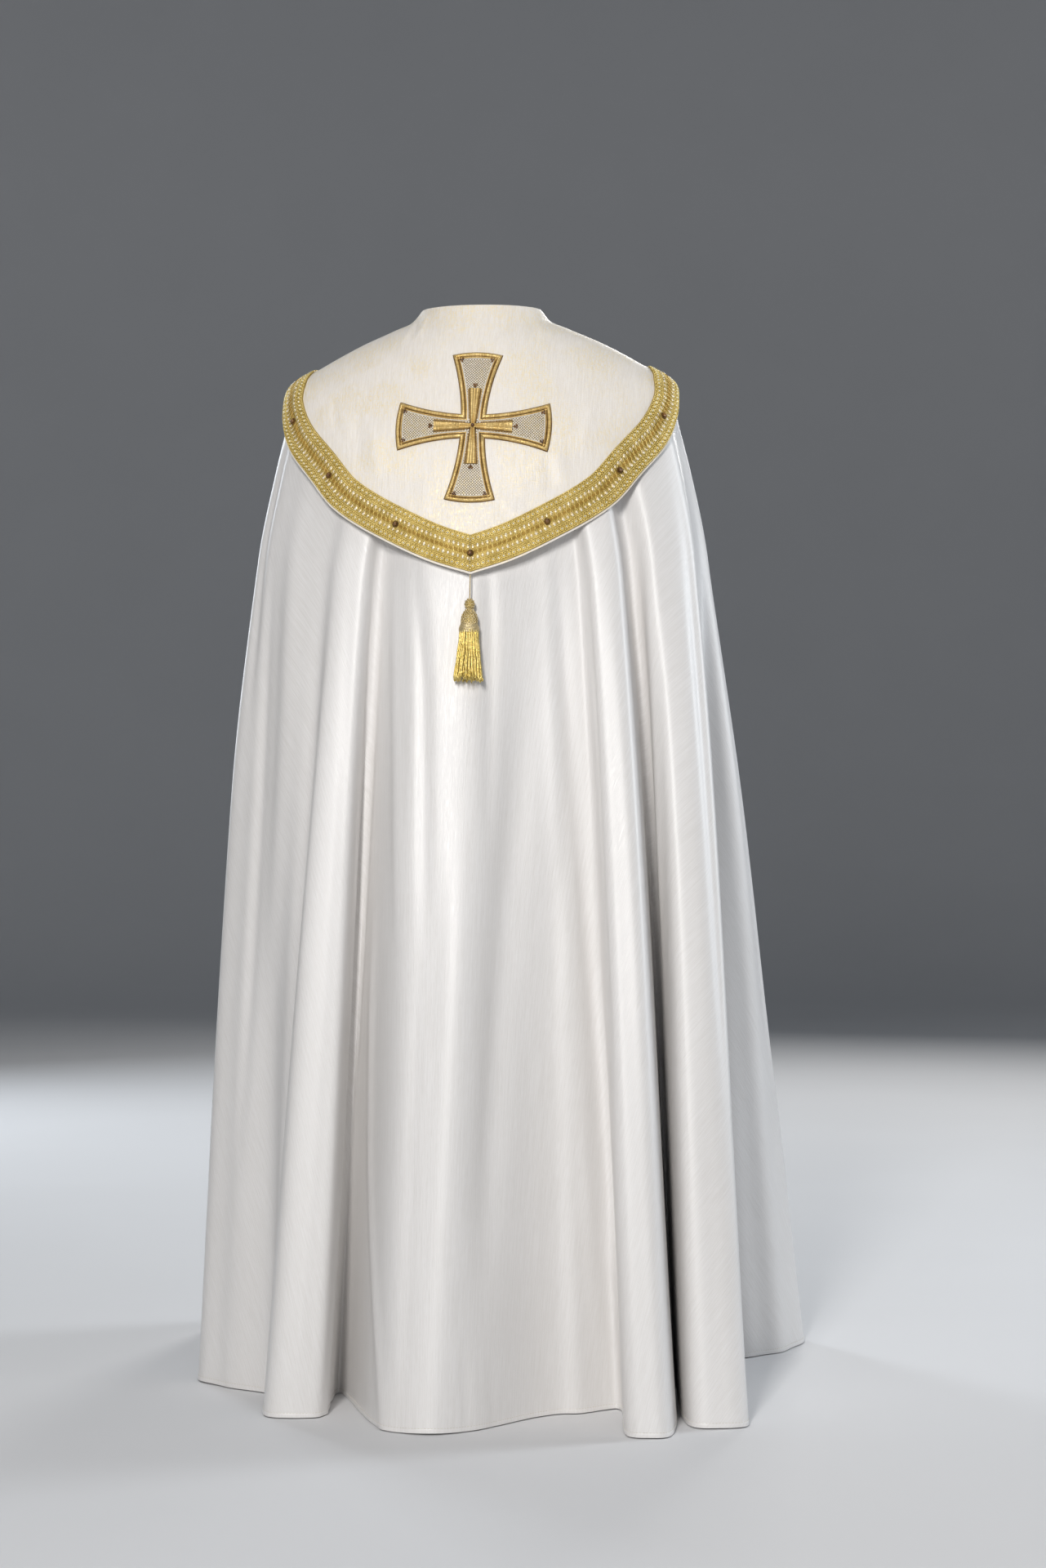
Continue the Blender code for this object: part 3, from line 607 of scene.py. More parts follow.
def closed_mesh(mesh: Mesh) -> Mesh:
    """Close a shape's open ends, if it has any, and turn its faces outwards."""
    builder = bmesh.new()
    builder.from_mesh(mesh)
    bmesh.ops.holes_fill(builder, edges=[edge for edge in builder.edges if edge.is_boundary])
    bmesh.ops.recalc_face_normals(builder, faces=builder.faces)
    builder.to_mesh(mesh)
    builder.free()
    return mesh


def open_mesh(mesh: Mesh, axis: Sequence[float]) -> Mesh:
    """Merge an open sheet's doubled points and turn its faces towards an axis."""
    builder = bmesh.new()
    builder.from_mesh(mesh)
    bmesh.ops.remove_doubles(builder, verts=builder.verts, dist=1e-5)
    bmesh.ops.recalc_face_normals(builder, faces=builder.faces)
    if sum(face.normal.dot(axis) for face in builder.faces) < 0:
        bmesh.ops.reverse_faces(builder, faces=builder.faces)
    builder.to_mesh(mesh)
    builder.free()
    return mesh


# Trees of nodes: recipes for what repeats or follows a path, and surfaces


class Tree:
    """A node tree to which one method adds every node."""

    tree: bpy.types.NodeTree

    def node(self, kind: str, settings: dict[str, object] | None = None,
             inputs: dict[str | int, object] | None = None) -> bpy.types.Node:
        """Add a node.

        Args:
            kind: The node's type.
            settings: Its settings, set before its sockets.
            inputs: Values or links of its sockets, by name, identifier or number.

        Returns:
            The node.
        """
        made = self.tree.nodes.new(kind)
        for name, value in (settings or {}).items():
            setattr(made, name, value)
        known = {socket.identifier: socket for socket in made.inputs}
        for name, value in (inputs or {}).items():
            socket = known[name] if name in known else made.inputs[name]
            if isinstance(value, Value):
                value = value.socket
            if isinstance(value, Socket):
                self.tree.links.new(value, socket)
            else:
                socket.default_value = value
        return made


class Recipe(Tree):
    """A Geometry Nodes tree with named inputs, which ends in real geometry and one material."""

    def __init__(self, name: str, inputs: dict[str, str]) -> None:
        """Start the tree.

        Args:
            name: The tree's name.
            inputs: Socket type of each named input.
        """
        self.tree = bpy.data.node_groups.new(name, "GeometryNodeTree")
        face = self.tree.interface
        inputs = {"Geometry": "NodeSocketGeometry", **inputs, "Material": "NodeSocketMaterial"}
        for label, kind in inputs.items():
            face.new_socket(label, in_out="INPUT", socket_type=kind)
        face.new_socket("Geometry", in_out="OUTPUT", socket_type="NodeSocketGeometry")
        self.entry = self.tree.nodes.new("NodeGroupInput").outputs

    def finish(self, made: bpy.types.Node) -> None:
        """End the tree with a node's real instances, smooth faces and the material."""
        for kind, more in (("RealizeInstances", {}), ("SetShadeSmooth", {}),
                           ("SetMaterial", {"Material": self.entry["Material"]})):
            made = self.node(f"GeometryNode{kind}", None, {"Geometry": made.outputs[0], **more})
        self.node("NodeGroupOutput", None, {"Geometry": made.outputs[0]})

    def run(self, piece: Piece, values: dict[str, object]) -> Piece:
        """Run the recipe on a piece and keep the result as its plain mesh."""
        modifier = piece.modifiers.new(self.tree.name, "NODES")
        modifier.node_group = self.tree
        for item in self.tree.interface.items_tree:
            if item.in_out == "INPUT" and item.name in values:
                modifier[item.identifier] = values[item.name]
        return settle(piece)


class Motif(Enum):
    """The small shapes that are sewn on again and again."""

    BEAD = "bead"
    KNOT = "knot"
    RING = "ring"
    STITCH = "stitch"
    TRIANGLE = "triangle"

    def mesh(self) -> Mesh:
        """Make the shape at unit size: X along, Y across, Z out of the cloth."""
        if self is Motif.RING:
            tube, round_steps, tube_steps = 0.34, 12, 5
            turn = 2 * math.pi * np.arange(round_steps)[:, None] / round_steps
            bend = 2 * math.pi * np.arange(tube_steps)[None, :] / tube_steps
            reach = 1.0 + tube * np.cos(bend)
            height = np.broadcast_to(tube * np.sin(bend), (round_steps, tube_steps))
            points = np.stack([np.cos(turn) * reach, np.sin(turn) * reach, height], axis=-1)
            return closed_mesh(grid_mesh(self.value, points, loop_across=True, loop_down=True))
        if self is Motif.TRIANGLE:
            corners = np.array([(-1.0, -0.62), (1.0, -0.62), (0.0, 1.1)])
            profile = ((1.0, 0.0), (0.82, 0.22), (0.35, 0.38))
            rings = [np.column_stack([corners * scale, np.full(3, height)]) for scale, height in profile]
            return closed_mesh(grid_mesh(self.value, np.stack(rings, axis=1), loop_across=True))
        builder = bmesh.new()
        if self is Motif.STITCH:
            bmesh.ops.create_uvsphere(builder, u_segments=5, v_segments=4, radius=1.0)
            for vertex in builder.verts:
                vertex.co = (vertex.co.z, vertex.co.y * 0.30, vertex.co.x * 0.26)
        else:
            bmesh.ops.create_icosphere(builder, subdivisions=2 if self is Motif.BEAD else 1, radius=1.0)
        mesh = bpy.data.meshes.new(self.value)
        builder.to_mesh(mesh)
        builder.free()
        return closed_mesh(mesh)


@dataclass
class Spots:
    """Where small pieces are set: points, the way out of the cloth, the way along, and sizes."""

    points: Array
    outs: Array
    alongs: Array
    sizes: Array | float = 1.0

    @staticmethod
    def joined(parts: Sequence[Spots]) -> Spots:
        """Put several sets of spots together."""
        sizes = [np.broadcast_to(np.asarray(part.sizes, float), len(part.points)) for part in parts]
        return Spots(
            np.concatenate([part.points for part in parts]),
            np.concatenate([part.outs for part in parts]),
            np.concatenate([part.alongs for part in parts]),
            np.concatenate(sizes),
        )


class Workshop:
    """Sets small pieces on spots and runs threads along lines, and fits them to the garment."""

    def __init__(self) -> None:
        """Build the two recipes."""
        placing = self.placing = Recipe("set pieces on spots", {"Piece": "NodeSocketObject"})
        rotation = {}
        for axis, attribute in (("Z", "out"), ("X", "along")):
            named = placing.node("GeometryNodeInputNamedAttribute", {"data_type": "FLOAT_VECTOR"},
                                 {"Name": attribute})
            turned = placing.node("FunctionNodeAlignRotationToVector",
                                  {"axis": axis, "pivot_axis": "Z" if rotation else "AUTO"},
                                  {"Vector": named.outputs["Attribute"], **rotation})
            rotation = {"Rotation": turned.outputs[0]}
        size = placing.node("GeometryNodeInputNamedAttribute", {"data_type": "FLOAT"}, {"Name": "size"})
        info = placing.node("GeometryNodeObjectInfo", None, {"Object": placing.entry["Piece"]})
        placing.finish(placing.node("GeometryNodeInstanceOnPoints", None, {
            "Points": placing.entry["Geometry"],
            "Instance": info.outputs["Geometry"],
            "Scale": size.outputs["Attribute"],
            **rotation,
        }))

        running = self.running = Recipe("run threads along lines",
                                        {"Radius": "NodeSocketFloat", "Sides": "NodeSocketInt"})
        line = running.node("GeometryNodeMeshToCurve", None, {"Mesh": running.entry["Geometry"]})
        section = running.node("GeometryNodeCurvePrimitiveCircle", None,
                               {"Resolution": running.entry["Sides"], "Radius": running.entry["Radius"]})
        running.finish(running.node("GeometryNodeCurveToMesh", None, {
            "Curve": line.outputs[0],
            "Profile Curve": section.outputs[0],
            "Fill Caps": True,
        }))

    def place(self, name: str, spots: Spots, motif: Motif, size: float, surface: Material, slot: str,
              *nodes: str) -> Piece:
        """Set a motif on every spot.

        Args:
            name: The new piece's name.
            spots: Where it is set.
            motif: What is set.
            size: The motif's size in metres.
            surface: Its material.
            slot: Not used.
            nodes: The CAD nodes that it stands for.

        Returns:
            One piece with all of them.
        """
        mesh = bpy.data.meshes.new(name)
        mesh.from_pydata(spots.points.tolist(), [], [])
        sizes = np.broadcast_to(np.asarray(spots.sizes, float) * size, len(spots.points))
        for label, kind, key, values in (
            ("out", "FLOAT_VECTOR", "vector", spots.outs),
            ("along", "FLOAT_VECTOR", "vector", spots.alongs),
            ("size", "FLOAT", "value", sizes),
        ):
            held = mesh.attributes.new(label, kind, "POINT")
            held.data.foreach_set(key, np.asarray(values, np.float32).ravel())
        pattern = add_piece(f"{name}_pattern", motif.mesh(), surface)
        piece = self.placing.run(link(name, mesh), {"Piece": pattern, "Material": surface})
        bpy.data.objects.remove(pattern, do_unlink=True)
        return fit(piece, slot, *nodes)

    def run(self, name: str, lines: Sequence[Array], radius: float, surface: Material, slot: str,
            *nodes: str, sides: int = 5, closed: bool = False) -> Piece:
        """Run a round thread along every line of points.

        Args:
            name: The new piece's name.
            lines: The lines that the thread follows.
            radius: The thread's radius.
            surface: Its material.
            slot: Not used.
            nodes: The CAD nodes that it stands for.
            sides: Corners of its section.
            closed: Joins each line's end to its start.

        Returns:
            One piece with all of them.
        """
        edges = []
        first = 0
        for line in lines:
            ends = np.arange(first, first + len(line))
            pairs = np.stack([ends, np.roll(ends, -1)], axis=1)
            edges.extend((pairs if closed else pairs[:-1]).tolist())
            first += len(line)
        mesh = bpy.data.meshes.new(name)
        mesh.from_pydata(np.concatenate(lines).tolist(), edges, [])
        values = {"Radius": radius, "Sides": sides, "Material": surface}
        return fit(self.running.run(link(name, mesh), values), slot, *nodes)


def plies(line: Array, outs: Array, radius: float, pitch: float, count: int = 2,
          steps: int = 7) -> list[Array]:
    """Wind plies round a line, as in a twisted cord.

    Args:
        line: The cord's middle.
        outs: A direction across the line at each of its points.
        radius: Distance of a ply's middle from the line.
        pitch: Length of one full turn.
        count: Number of plies.
        steps: Points in one turn.

    Returns:
        One line for each ply.
    """
    length = running_length(line)[-1]
    at = np.linspace(0.0, length, max(int(length / pitch * steps), 8))
    middle, out = along_line(at, line, outs)
    out = unit(out)
    side = unit(np.cross(np.gradient(middle, axis=0), out))
    turns = [2 * math.pi * (at / pitch + ply / count) for ply in range(count)]
    return [middle + (out * np.cos(turn)[:, None] + side * np.sin(turn)[:, None]) * radius for turn in turns]


def spots_along(line: Array, outs: Array, pitch: float) -> Spots:
    """Space spots evenly along a line."""
    length = running_length(line)[-1]
    count = max(int(round(length / pitch)), 1)
    at = (np.arange(count) + 0.5) * length / count
    points, out, along = along_line(at, line, outs, unit(np.gradient(line, axis=0)))
    return Spots(points, unit(out), unit(along))


# Surfaces


class Value:
    """A number socket on which arithmetic adds Math nodes."""

    def __init__(self, surface: Surface, socket: Socket) -> None:
        """Wrap a socket of a surface."""
        self.surface = surface
        self.socket = socket

    def __add__(self, other: Value | float) -> Value:
        """Return self + other."""
        return self.surface.math("ADD", self, other)

    def __rsub__(self, other: float) -> Value:
        """Return other - self."""
        return self.surface.math("SUBTRACT", other, self)

    def __mul__(self, other: Value | float) -> Value:
        """Return self * other."""
        return self.surface.math("MULTIPLY", self, other)

    __radd__ = __add__
    __rmul__ = __mul__


class Surface(Tree):
    """A material with one Principled shader, built from named parts."""

    def __init__(self, name: str, **constants: float) -> None:
        """Start a material.

        Args:
            name: The material's name.
            constants: Values of the shader's own sockets, with _ for a space.
        """
        self.material = bpy.data.materials.new(name)
        self.material.use_nodes = True
        self.tree = self.material.node_tree
        self.shader = self.tree.nodes["Principled BSDF"]
        for label, value in constants.items():
            self.shader.inputs[label.replace("_", " ")].default_value = value

    def math(self, operation: str, first: Value | float, second: Value | float) -> Value:
        """Join two numbers with a Math node."""
        made = self.node("ShaderNodeMath", {"operation": operation}, {0: first, 1: second})
        return Value(self, made.outputs[0])

    def noise(self, own_cut: bool, scale: Sequence[float], detail: float = 1.0,
              low: float = 0.3, high: float = 0.7) -> Value:
        """Return a noise from 0 to 1, its spots 1 / scale metres in size along each axis."""
        if own_cut:
            source = self.node("ShaderNodeUVMap", {"uv_map": "cut"}).outputs["UV"]
        else:
            source = self.node("ShaderNodeTexCoord").outputs["Object"]
        place = self.node("ShaderNodeVectorMath", {"operation": "MULTIPLY"}, {0: source, 1: scale}).outputs[0]
        spots = self.node("ShaderNodeTexNoise", None, {"Vector": place, "Scale": 1.0, "Detail": detail})
        made = self.node("ShaderNodeMapRange", {"interpolation_type": "SMOOTHSTEP"},
                         {"Value": spots.outputs[0], "From Min": low, "From Max": high})
        return Value(self, made.outputs[0])

    def even_noise(self, size: float) -> Value:
        """Return a noise whose spots are the same size every way, on the object's coordinates."""
        return self.noise(False, (size, size, size))

    def mix(self, share: Value, first: Colour | Socket, second: Colour) -> Socket:
        """Mix two colours."""
        ends = [(*colour, 1.0) if isinstance(colour, tuple) else colour for colour in (first, second)]
        made = self.node("ShaderNodeMix", {"data_type": "RGBA"},
                         {"Factor_Float": share, "A_Color": ends[0], "B_Color": ends[1]})
        return next(socket for socket in made.outputs if socket.identifier == "Result_Color")

    def dress(self, colour: Socket, roughness: Value | None = None, metallic: Value | None = None,
              height: Value | None = None, relief: float = 0.0) -> Material:
        """Link what varies over the surface.

        Args:
            colour: The base colour.
            roughness: The roughness.
            metallic: The metallic share.
            height: A relief from 0 to 1.
            relief: The relief's depth in metres.

        Returns:
            The material.
        """
        sources = {"Base Color": colour}
        for label, value in (("Roughness", roughness), ("Metallic", metallic)):
            if value is not None:
                sources[label] = value.socket
        if height is not None:
            bump = self.node("ShaderNodeBump", None, {"Height": height, "Distance": relief, "Strength": 1.0})
            sources["Normal"] = bump.outputs[0]
        for label, source in sources.items():
            self.tree.links.new(source, self.shader.inputs[label])
        return self.material


@dataclass(frozen=True)
class Satin:
    """Ivory satin with fine uneven threads that run along the cut."""

    light: Colour = (0.845, 0.828, 0.818)
    shade: Colour = (0.755, 0.733, 0.712)
    roughness: float = 0.37

    def surface(self, name: str) -> Material:
        """Make the material."""
        made = Surface(name, Specular_IOR_Level=0.8, Coat_Weight=0.3, Coat_Roughness=0.38)
        streak = made.noise(True, (620.0, 14.0, 1.0), 2.0)
        thread = made.noise(True, (1800.0, 70.0, 1.0))
        slub = made.noise(True, (420.0, 9.0, 1.0), 1.0, 0.60, 0.74)
        cloud = made.noise(False, (7.0, 7.0, 3.0), 1.0, 0.35, 0.65)
        return made.dress(
            colour=made.mix(streak * 0.45 + thread * 0.35 + cloud * 0.2, self.shade, self.light),
            roughness=self.roughness + thread * 0.10 + streak * 0.10,
            height=streak * 0.4 + thread * 0.5 + slub * 0.25,
            relief=0.00012,
        )


@dataclass(frozen=True)
class SlubLame:
    """Ivory cloth with upright slubs and flecks of gold thread."""

    light: Colour = (0.93, 0.885, 0.835)
    shade: Colour = (0.82, 0.765, 0.70)
    gold: Colour = (0.93, 0.78, 0.46)
    roughness: float = 0.42

    def surface(self, name: str) -> Material:
        """Make the material."""
        made = Surface(name, Sheen_Weight=0.1)
        streak = made.noise(False, (620.0, 34.0, 34.0), 2.0, 0.25, 0.75)
        thread = made.noise(False, (1700.0, 110.0, 110.0), 1.0, 0.25, 0.75)
        fleck = made.noise(False, (1150.0, 150.0, 150.0), 1.0, 0.46, 0.62)
        weft = made.noise(False, (120.0, 900.0, 900.0), 1.0, 0.50, 0.64)
        patch = made.noise(False, (16.0, 16.0, 16.0), 2.0, 0.36, 0.60)
        gilt = (fleck * 0.6 + weft * 0.4) * (patch * 0.66 + 0.14)
        tone = streak * 0.6 + thread * 0.4
        return made.dress(
            colour=made.mix(gilt, made.mix(tone, self.shade, self.light), self.gold),
            roughness=self.roughness - gilt * 0.08 + tone * 0.08,
            metallic=gilt * 0.25,
            height=streak * 0.6 + fleck * 0.3 + weft * 0.3,
            relief=0.00022,
        )


@dataclass(frozen=True)
class MetalThread:
    """Gold or champagne metal thread, lighter and darker from thread to thread."""

    light: Colour
    dark: Colour
    roughness: float = 0.34
    metallic: float = 0.65
    grain: float = 700.0
    stitch_pitch: float = 0.0

    def surface(self, name: str) -> Material:
        """Make the material; a stitch pitch adds close ridges across the piece's own cut."""
        made = Surface(name, Metallic=self.metallic)
        if self.stitch_pitch:
            main = made.noise(True, (1.0 / self.stitch_pitch, 90.0, 1.0))
            share, rougher, relief = 0.60, 0.10, 0.00035
        else:
            main = made.even_noise(self.grain)
            share, rougher, relief = 0.65, 0.12, 0.00015
        tone = main * share + made.even_noise(60.0) * (1 - share)
        return made.dress(
            colour=made.mix(tone, self.dark, self.light),
            roughness=self.roughness + main * rougher,
            height=main,
            relief=relief,
        )


@dataclass(frozen=True)
class Gloss:
    """A smooth glossy surface with slight clouds of tone: beads and polished metal."""

    light: Colour
    dark: Colour
    roughness: float = 0.12
    metallic: float = 0.0
    coat: float = 0.6

    def surface(self, name: str) -> Material:
        """Make the material."""
        made = Surface(name, Metallic=self.metallic, Coat_Weight=self.coat, Coat_Roughness=0.08)
        cloud = made.even_noise(260.0)
        return made.dress(
            colour=made.mix(cloud, self.dark, self.light),
            roughness=self.roughness + cloud * 0.1,
            height=cloud,
            relief=0.00004,
        )


@dataclass(frozen=True)
class FloorPaper:
    """The plain pale floor."""

    colour: Colour = (0.72, 0.72, 0.73)

    def surface(self, name: str) -> Material:
        """Make the material."""
        made = Surface(name, Roughness=0.85, Specular_IOR_Level=0.2)
        darker = tuple(part * 0.985 for part in self.colour)
        return made.dress(made.mix(made.noise(False, (2.0, 2.0, 2.0), 2.0), darker, self.colour))


class Finishes:
    """Every finish of the garment, made once."""

    def __init__(self) -> None:
        """Make the materials."""
        self.satin = Satin().surface("ivory satin")
        self.lame = SlubLame().surface("ivory lame")
        self.hem_thread = MetalThread((0.80, 0.77, 0.70), (0.62, 0.58, 0.50), 0.6, 0.0).surface("hem thread")
        self.braid_ground = MetalThread((0.60, 0.44, 0.12), (0.28, 0.19, 0.03), 0.45, 0.5,
                                        900.0).surface("braid ground")
        self.braid_gold = MetalThread((1.0, 0.83, 0.36), (0.72, 0.53, 0.13), 0.34, 0.55,
                                      800.0).surface("braid gold")
        self.braid_amber = MetalThread((0.76, 0.50, 0.12), (0.38, 0.22, 0.03), 0.36, 0.50,
                                       800.0).surface("braid amber")
        self.braid_peach = MetalThread((0.97, 0.84, 0.60), (0.76, 0.58, 0.30), 0.26, 0.35,
                                       500.0).surface("braid peach")
        # This near-white finish colours only the small dots that paint highlights in the braid.
        self.painted_highlight_ivory = MetalThread((1.0, 0.97, 0.86), (0.93, 0.86, 0.68), 0.25, 0.10,
                                       700.0).surface("braid ivory")
        self.stitch_gold = MetalThread((0.98, 0.74, 0.33), (0.60, 0.38, 0.11), 0.30, 0.62,
                                       stitch_pitch=0.0008).surface("satin stitch gold")
        # Dark gold also colours the cord that paints the shade in the cross rim's groove.
        self.dark_gold = MetalThread((0.26, 0.14, 0.03), (0.08, 0.04, 0.01), 0.4, 0.5).surface("dark gold")
        self.purl = MetalThread((0.86, 0.62, 0.26), (0.50, 0.32, 0.10), 0.3, 0.6, 900.0).surface("gold purl")
        self.cord_ivory = MetalThread((0.86, 0.83, 0.76), (0.72, 0.68, 0.58), 0.5, 0.1).surface("ivory cord")
        self.lattice = MetalThread((0.42, 0.32, 0.14), (0.24, 0.17, 0.06), 0.45,
                                   0.5).surface("lattice thread")
        self.champagne = MetalThread((0.84, 0.72, 0.46), (0.58, 0.44, 0.20), 0.34, 0.7,
                                     900.0).surface("champagne thread")
        self.strand = MetalThread((0.95, 0.77, 0.29), (0.62, 0.45, 0.10), 0.27, 0.62,
                                  300.0).surface("olive gold strand")
        self.bead = Gloss((0.26, 0.12, 0.03), (0.08, 0.03, 0.01)).surface("amber bead")
        self.gilt = Gloss((0.82, 0.62, 0.26), (0.62, 0.44, 0.16), 0.24, 1.0, 0.0).surface("gilt plate")


# The studio


@dataclass(frozen=True)
class Softbox:
    """One large soft light."""

    name: str
    place: tuple[float, float, float]
    aim: tuple[float, float, float]
    width: float
    height: float
    watts: float
    colour: Colour = (1.0, 1.0, 1.0)

    def add(self) -> None:
        """Hang the light."""
        lamp = bpy.data.lights.new(self.name, "AREA")
        lamp.shape = "RECTANGLE"
        lamp.size = self.width
        lamp.size_y = self.height
        lamp.energy = self.watts
        lamp.color = self.colour
        held = link(self.name, lamp)
        held.location = self.place
        way = Vector(self.aim) - Vector(self.place)
        held.rotation_euler = way.to_track_quat("-Z", "Y").to_euler()


@dataclass
class Studio:
    """Camera, lights and a pale floor that curves up far away."""

    camera_place: tuple[float, float, float] = (-0.4396, 3.9762, -0.616)
    camera_yaw: float = 5.5
    lens: float = 66.975
    row_shift: float = -4.0 / 1920.0
    floor_height: float = -1.4335
    floor_radius: float = 7.0
    sweep: float = 4.0
    wall_height: float = 6.0
    softboxes: tuple[Softbox, ...] = (
        Softbox("key", (0.35, 4.7, 1.2), (0.0, 0.1, -0.60), 0.6, 1.5, 156.0, (1.0, 0.982, 0.96)),
        Softbox("second", (-3.4, 2.2, 0.8), (0.0, 0.0, -0.7), 0.7, 2.2, 6.0, (0.80, 0.89, 1.0)),
        Softbox("left rim", (2.4, -3.1, 0.6), (0.0, 0.0, -0.6), 0.9, 2.4, 50.0, (0.86, 0.93, 1.0)),
        Softbox("right rim", (-3.0, -1.2, 0.4), (0.0, 0.0, -0.6), 0.7, 2.4, 52.0, (0.90, 0.95, 1.0)),
        Softbox("front", (-0.8, -4.4, 1.2), (0.0, -0.1, -0.60), 1.2, 1.6, 64.0, (1.0, 0.99, 0.97)),
        Softbox("top", (0.0, 0.9, 3.0), (0.0, 0.0, -0.4), 2.0, 2.0, 21.0, (1.0, 0.985, 0.96)),
    )

    def add_camera(self) -> None:
        """Set the camera at the photograph's angle."""
        held = link("camera", bpy.data.cameras.new("camera"))
        held.data.lens = self.lens
        held.data.sensor_width = 36.0
        held.data.shift_y = self.row_shift
        held.location = self.camera_place
        yaw = math.radians(self.camera_yaw)
        way = Vector((math.sin(yaw), -math.cos(yaw), 0.0))
        held.rotation_euler = way.to_track_quat("-Z", "Y").to_euler()
        bpy.context.scene.camera = held

    def add_floor(self) -> None:
        """Lay the floor."""
        curve_steps, around_steps = 12, 96
        profile = [(self.floor_radius * step / 8, self.floor_height) for step in range(9)]
        for step in range(1, curve_steps + 1):
            turn = math.pi / 2 * step / curve_steps
            profile.append((self.floor_radius + self.sweep * math.sin(turn),
                            self.floor_height + self.sweep * (1 - math.cos(turn))))
        profile.append((self.floor_radius + self.sweep, self.floor_height + self.wall_height))
        reach, height = np.array(profile).T
        turns = 2 * math.pi * np.arange(around_steps)[:, None] / around_steps
        points = np.stack(np.broadcast_arrays(np.sin(turns) * reach, np.cos(turns) * reach, height), axis=-1)
        mesh = open_mesh(grid_mesh("floor", points, loop_across=True), (0.0, 0.0, 1.0))
        add_piece("floor", mesh, FloorPaper().surface("floor"))

    def add_lights(self) -> None:
        """Hang the soft lights and set a dim even surround."""
        for softbox in self.softboxes:
            softbox.add()
        world = bpy.data.worlds.new("surround")
        world.use_nodes = True
        surround = world.node_tree.nodes["Background"].inputs
        surround["Color"].default_value = (0.76, 0.87, 1.0, 1.0)
        surround["Strength"].default_value = 0.09
        bpy.context.scene.world = world
        bpy.context.scene.view_settings.view_transform = "Standard"


# The garment


@dataclass(frozen=True)
class Crease:
    """A soft ridge or trough down the mantle, through three points."""

    name: str
    places: tuple[float, float, float]
    levels: tuple[float, float, float]
    width: float
    height: float


@dataclass(frozen=True)
class Pucker:
    """A soft ridge or trough of the hood, from its upper end to its lower end."""

    x_top: float
    z_top: float
    x_low: float
    z_low: float
    width: float
    height: float
    behind: bool = True


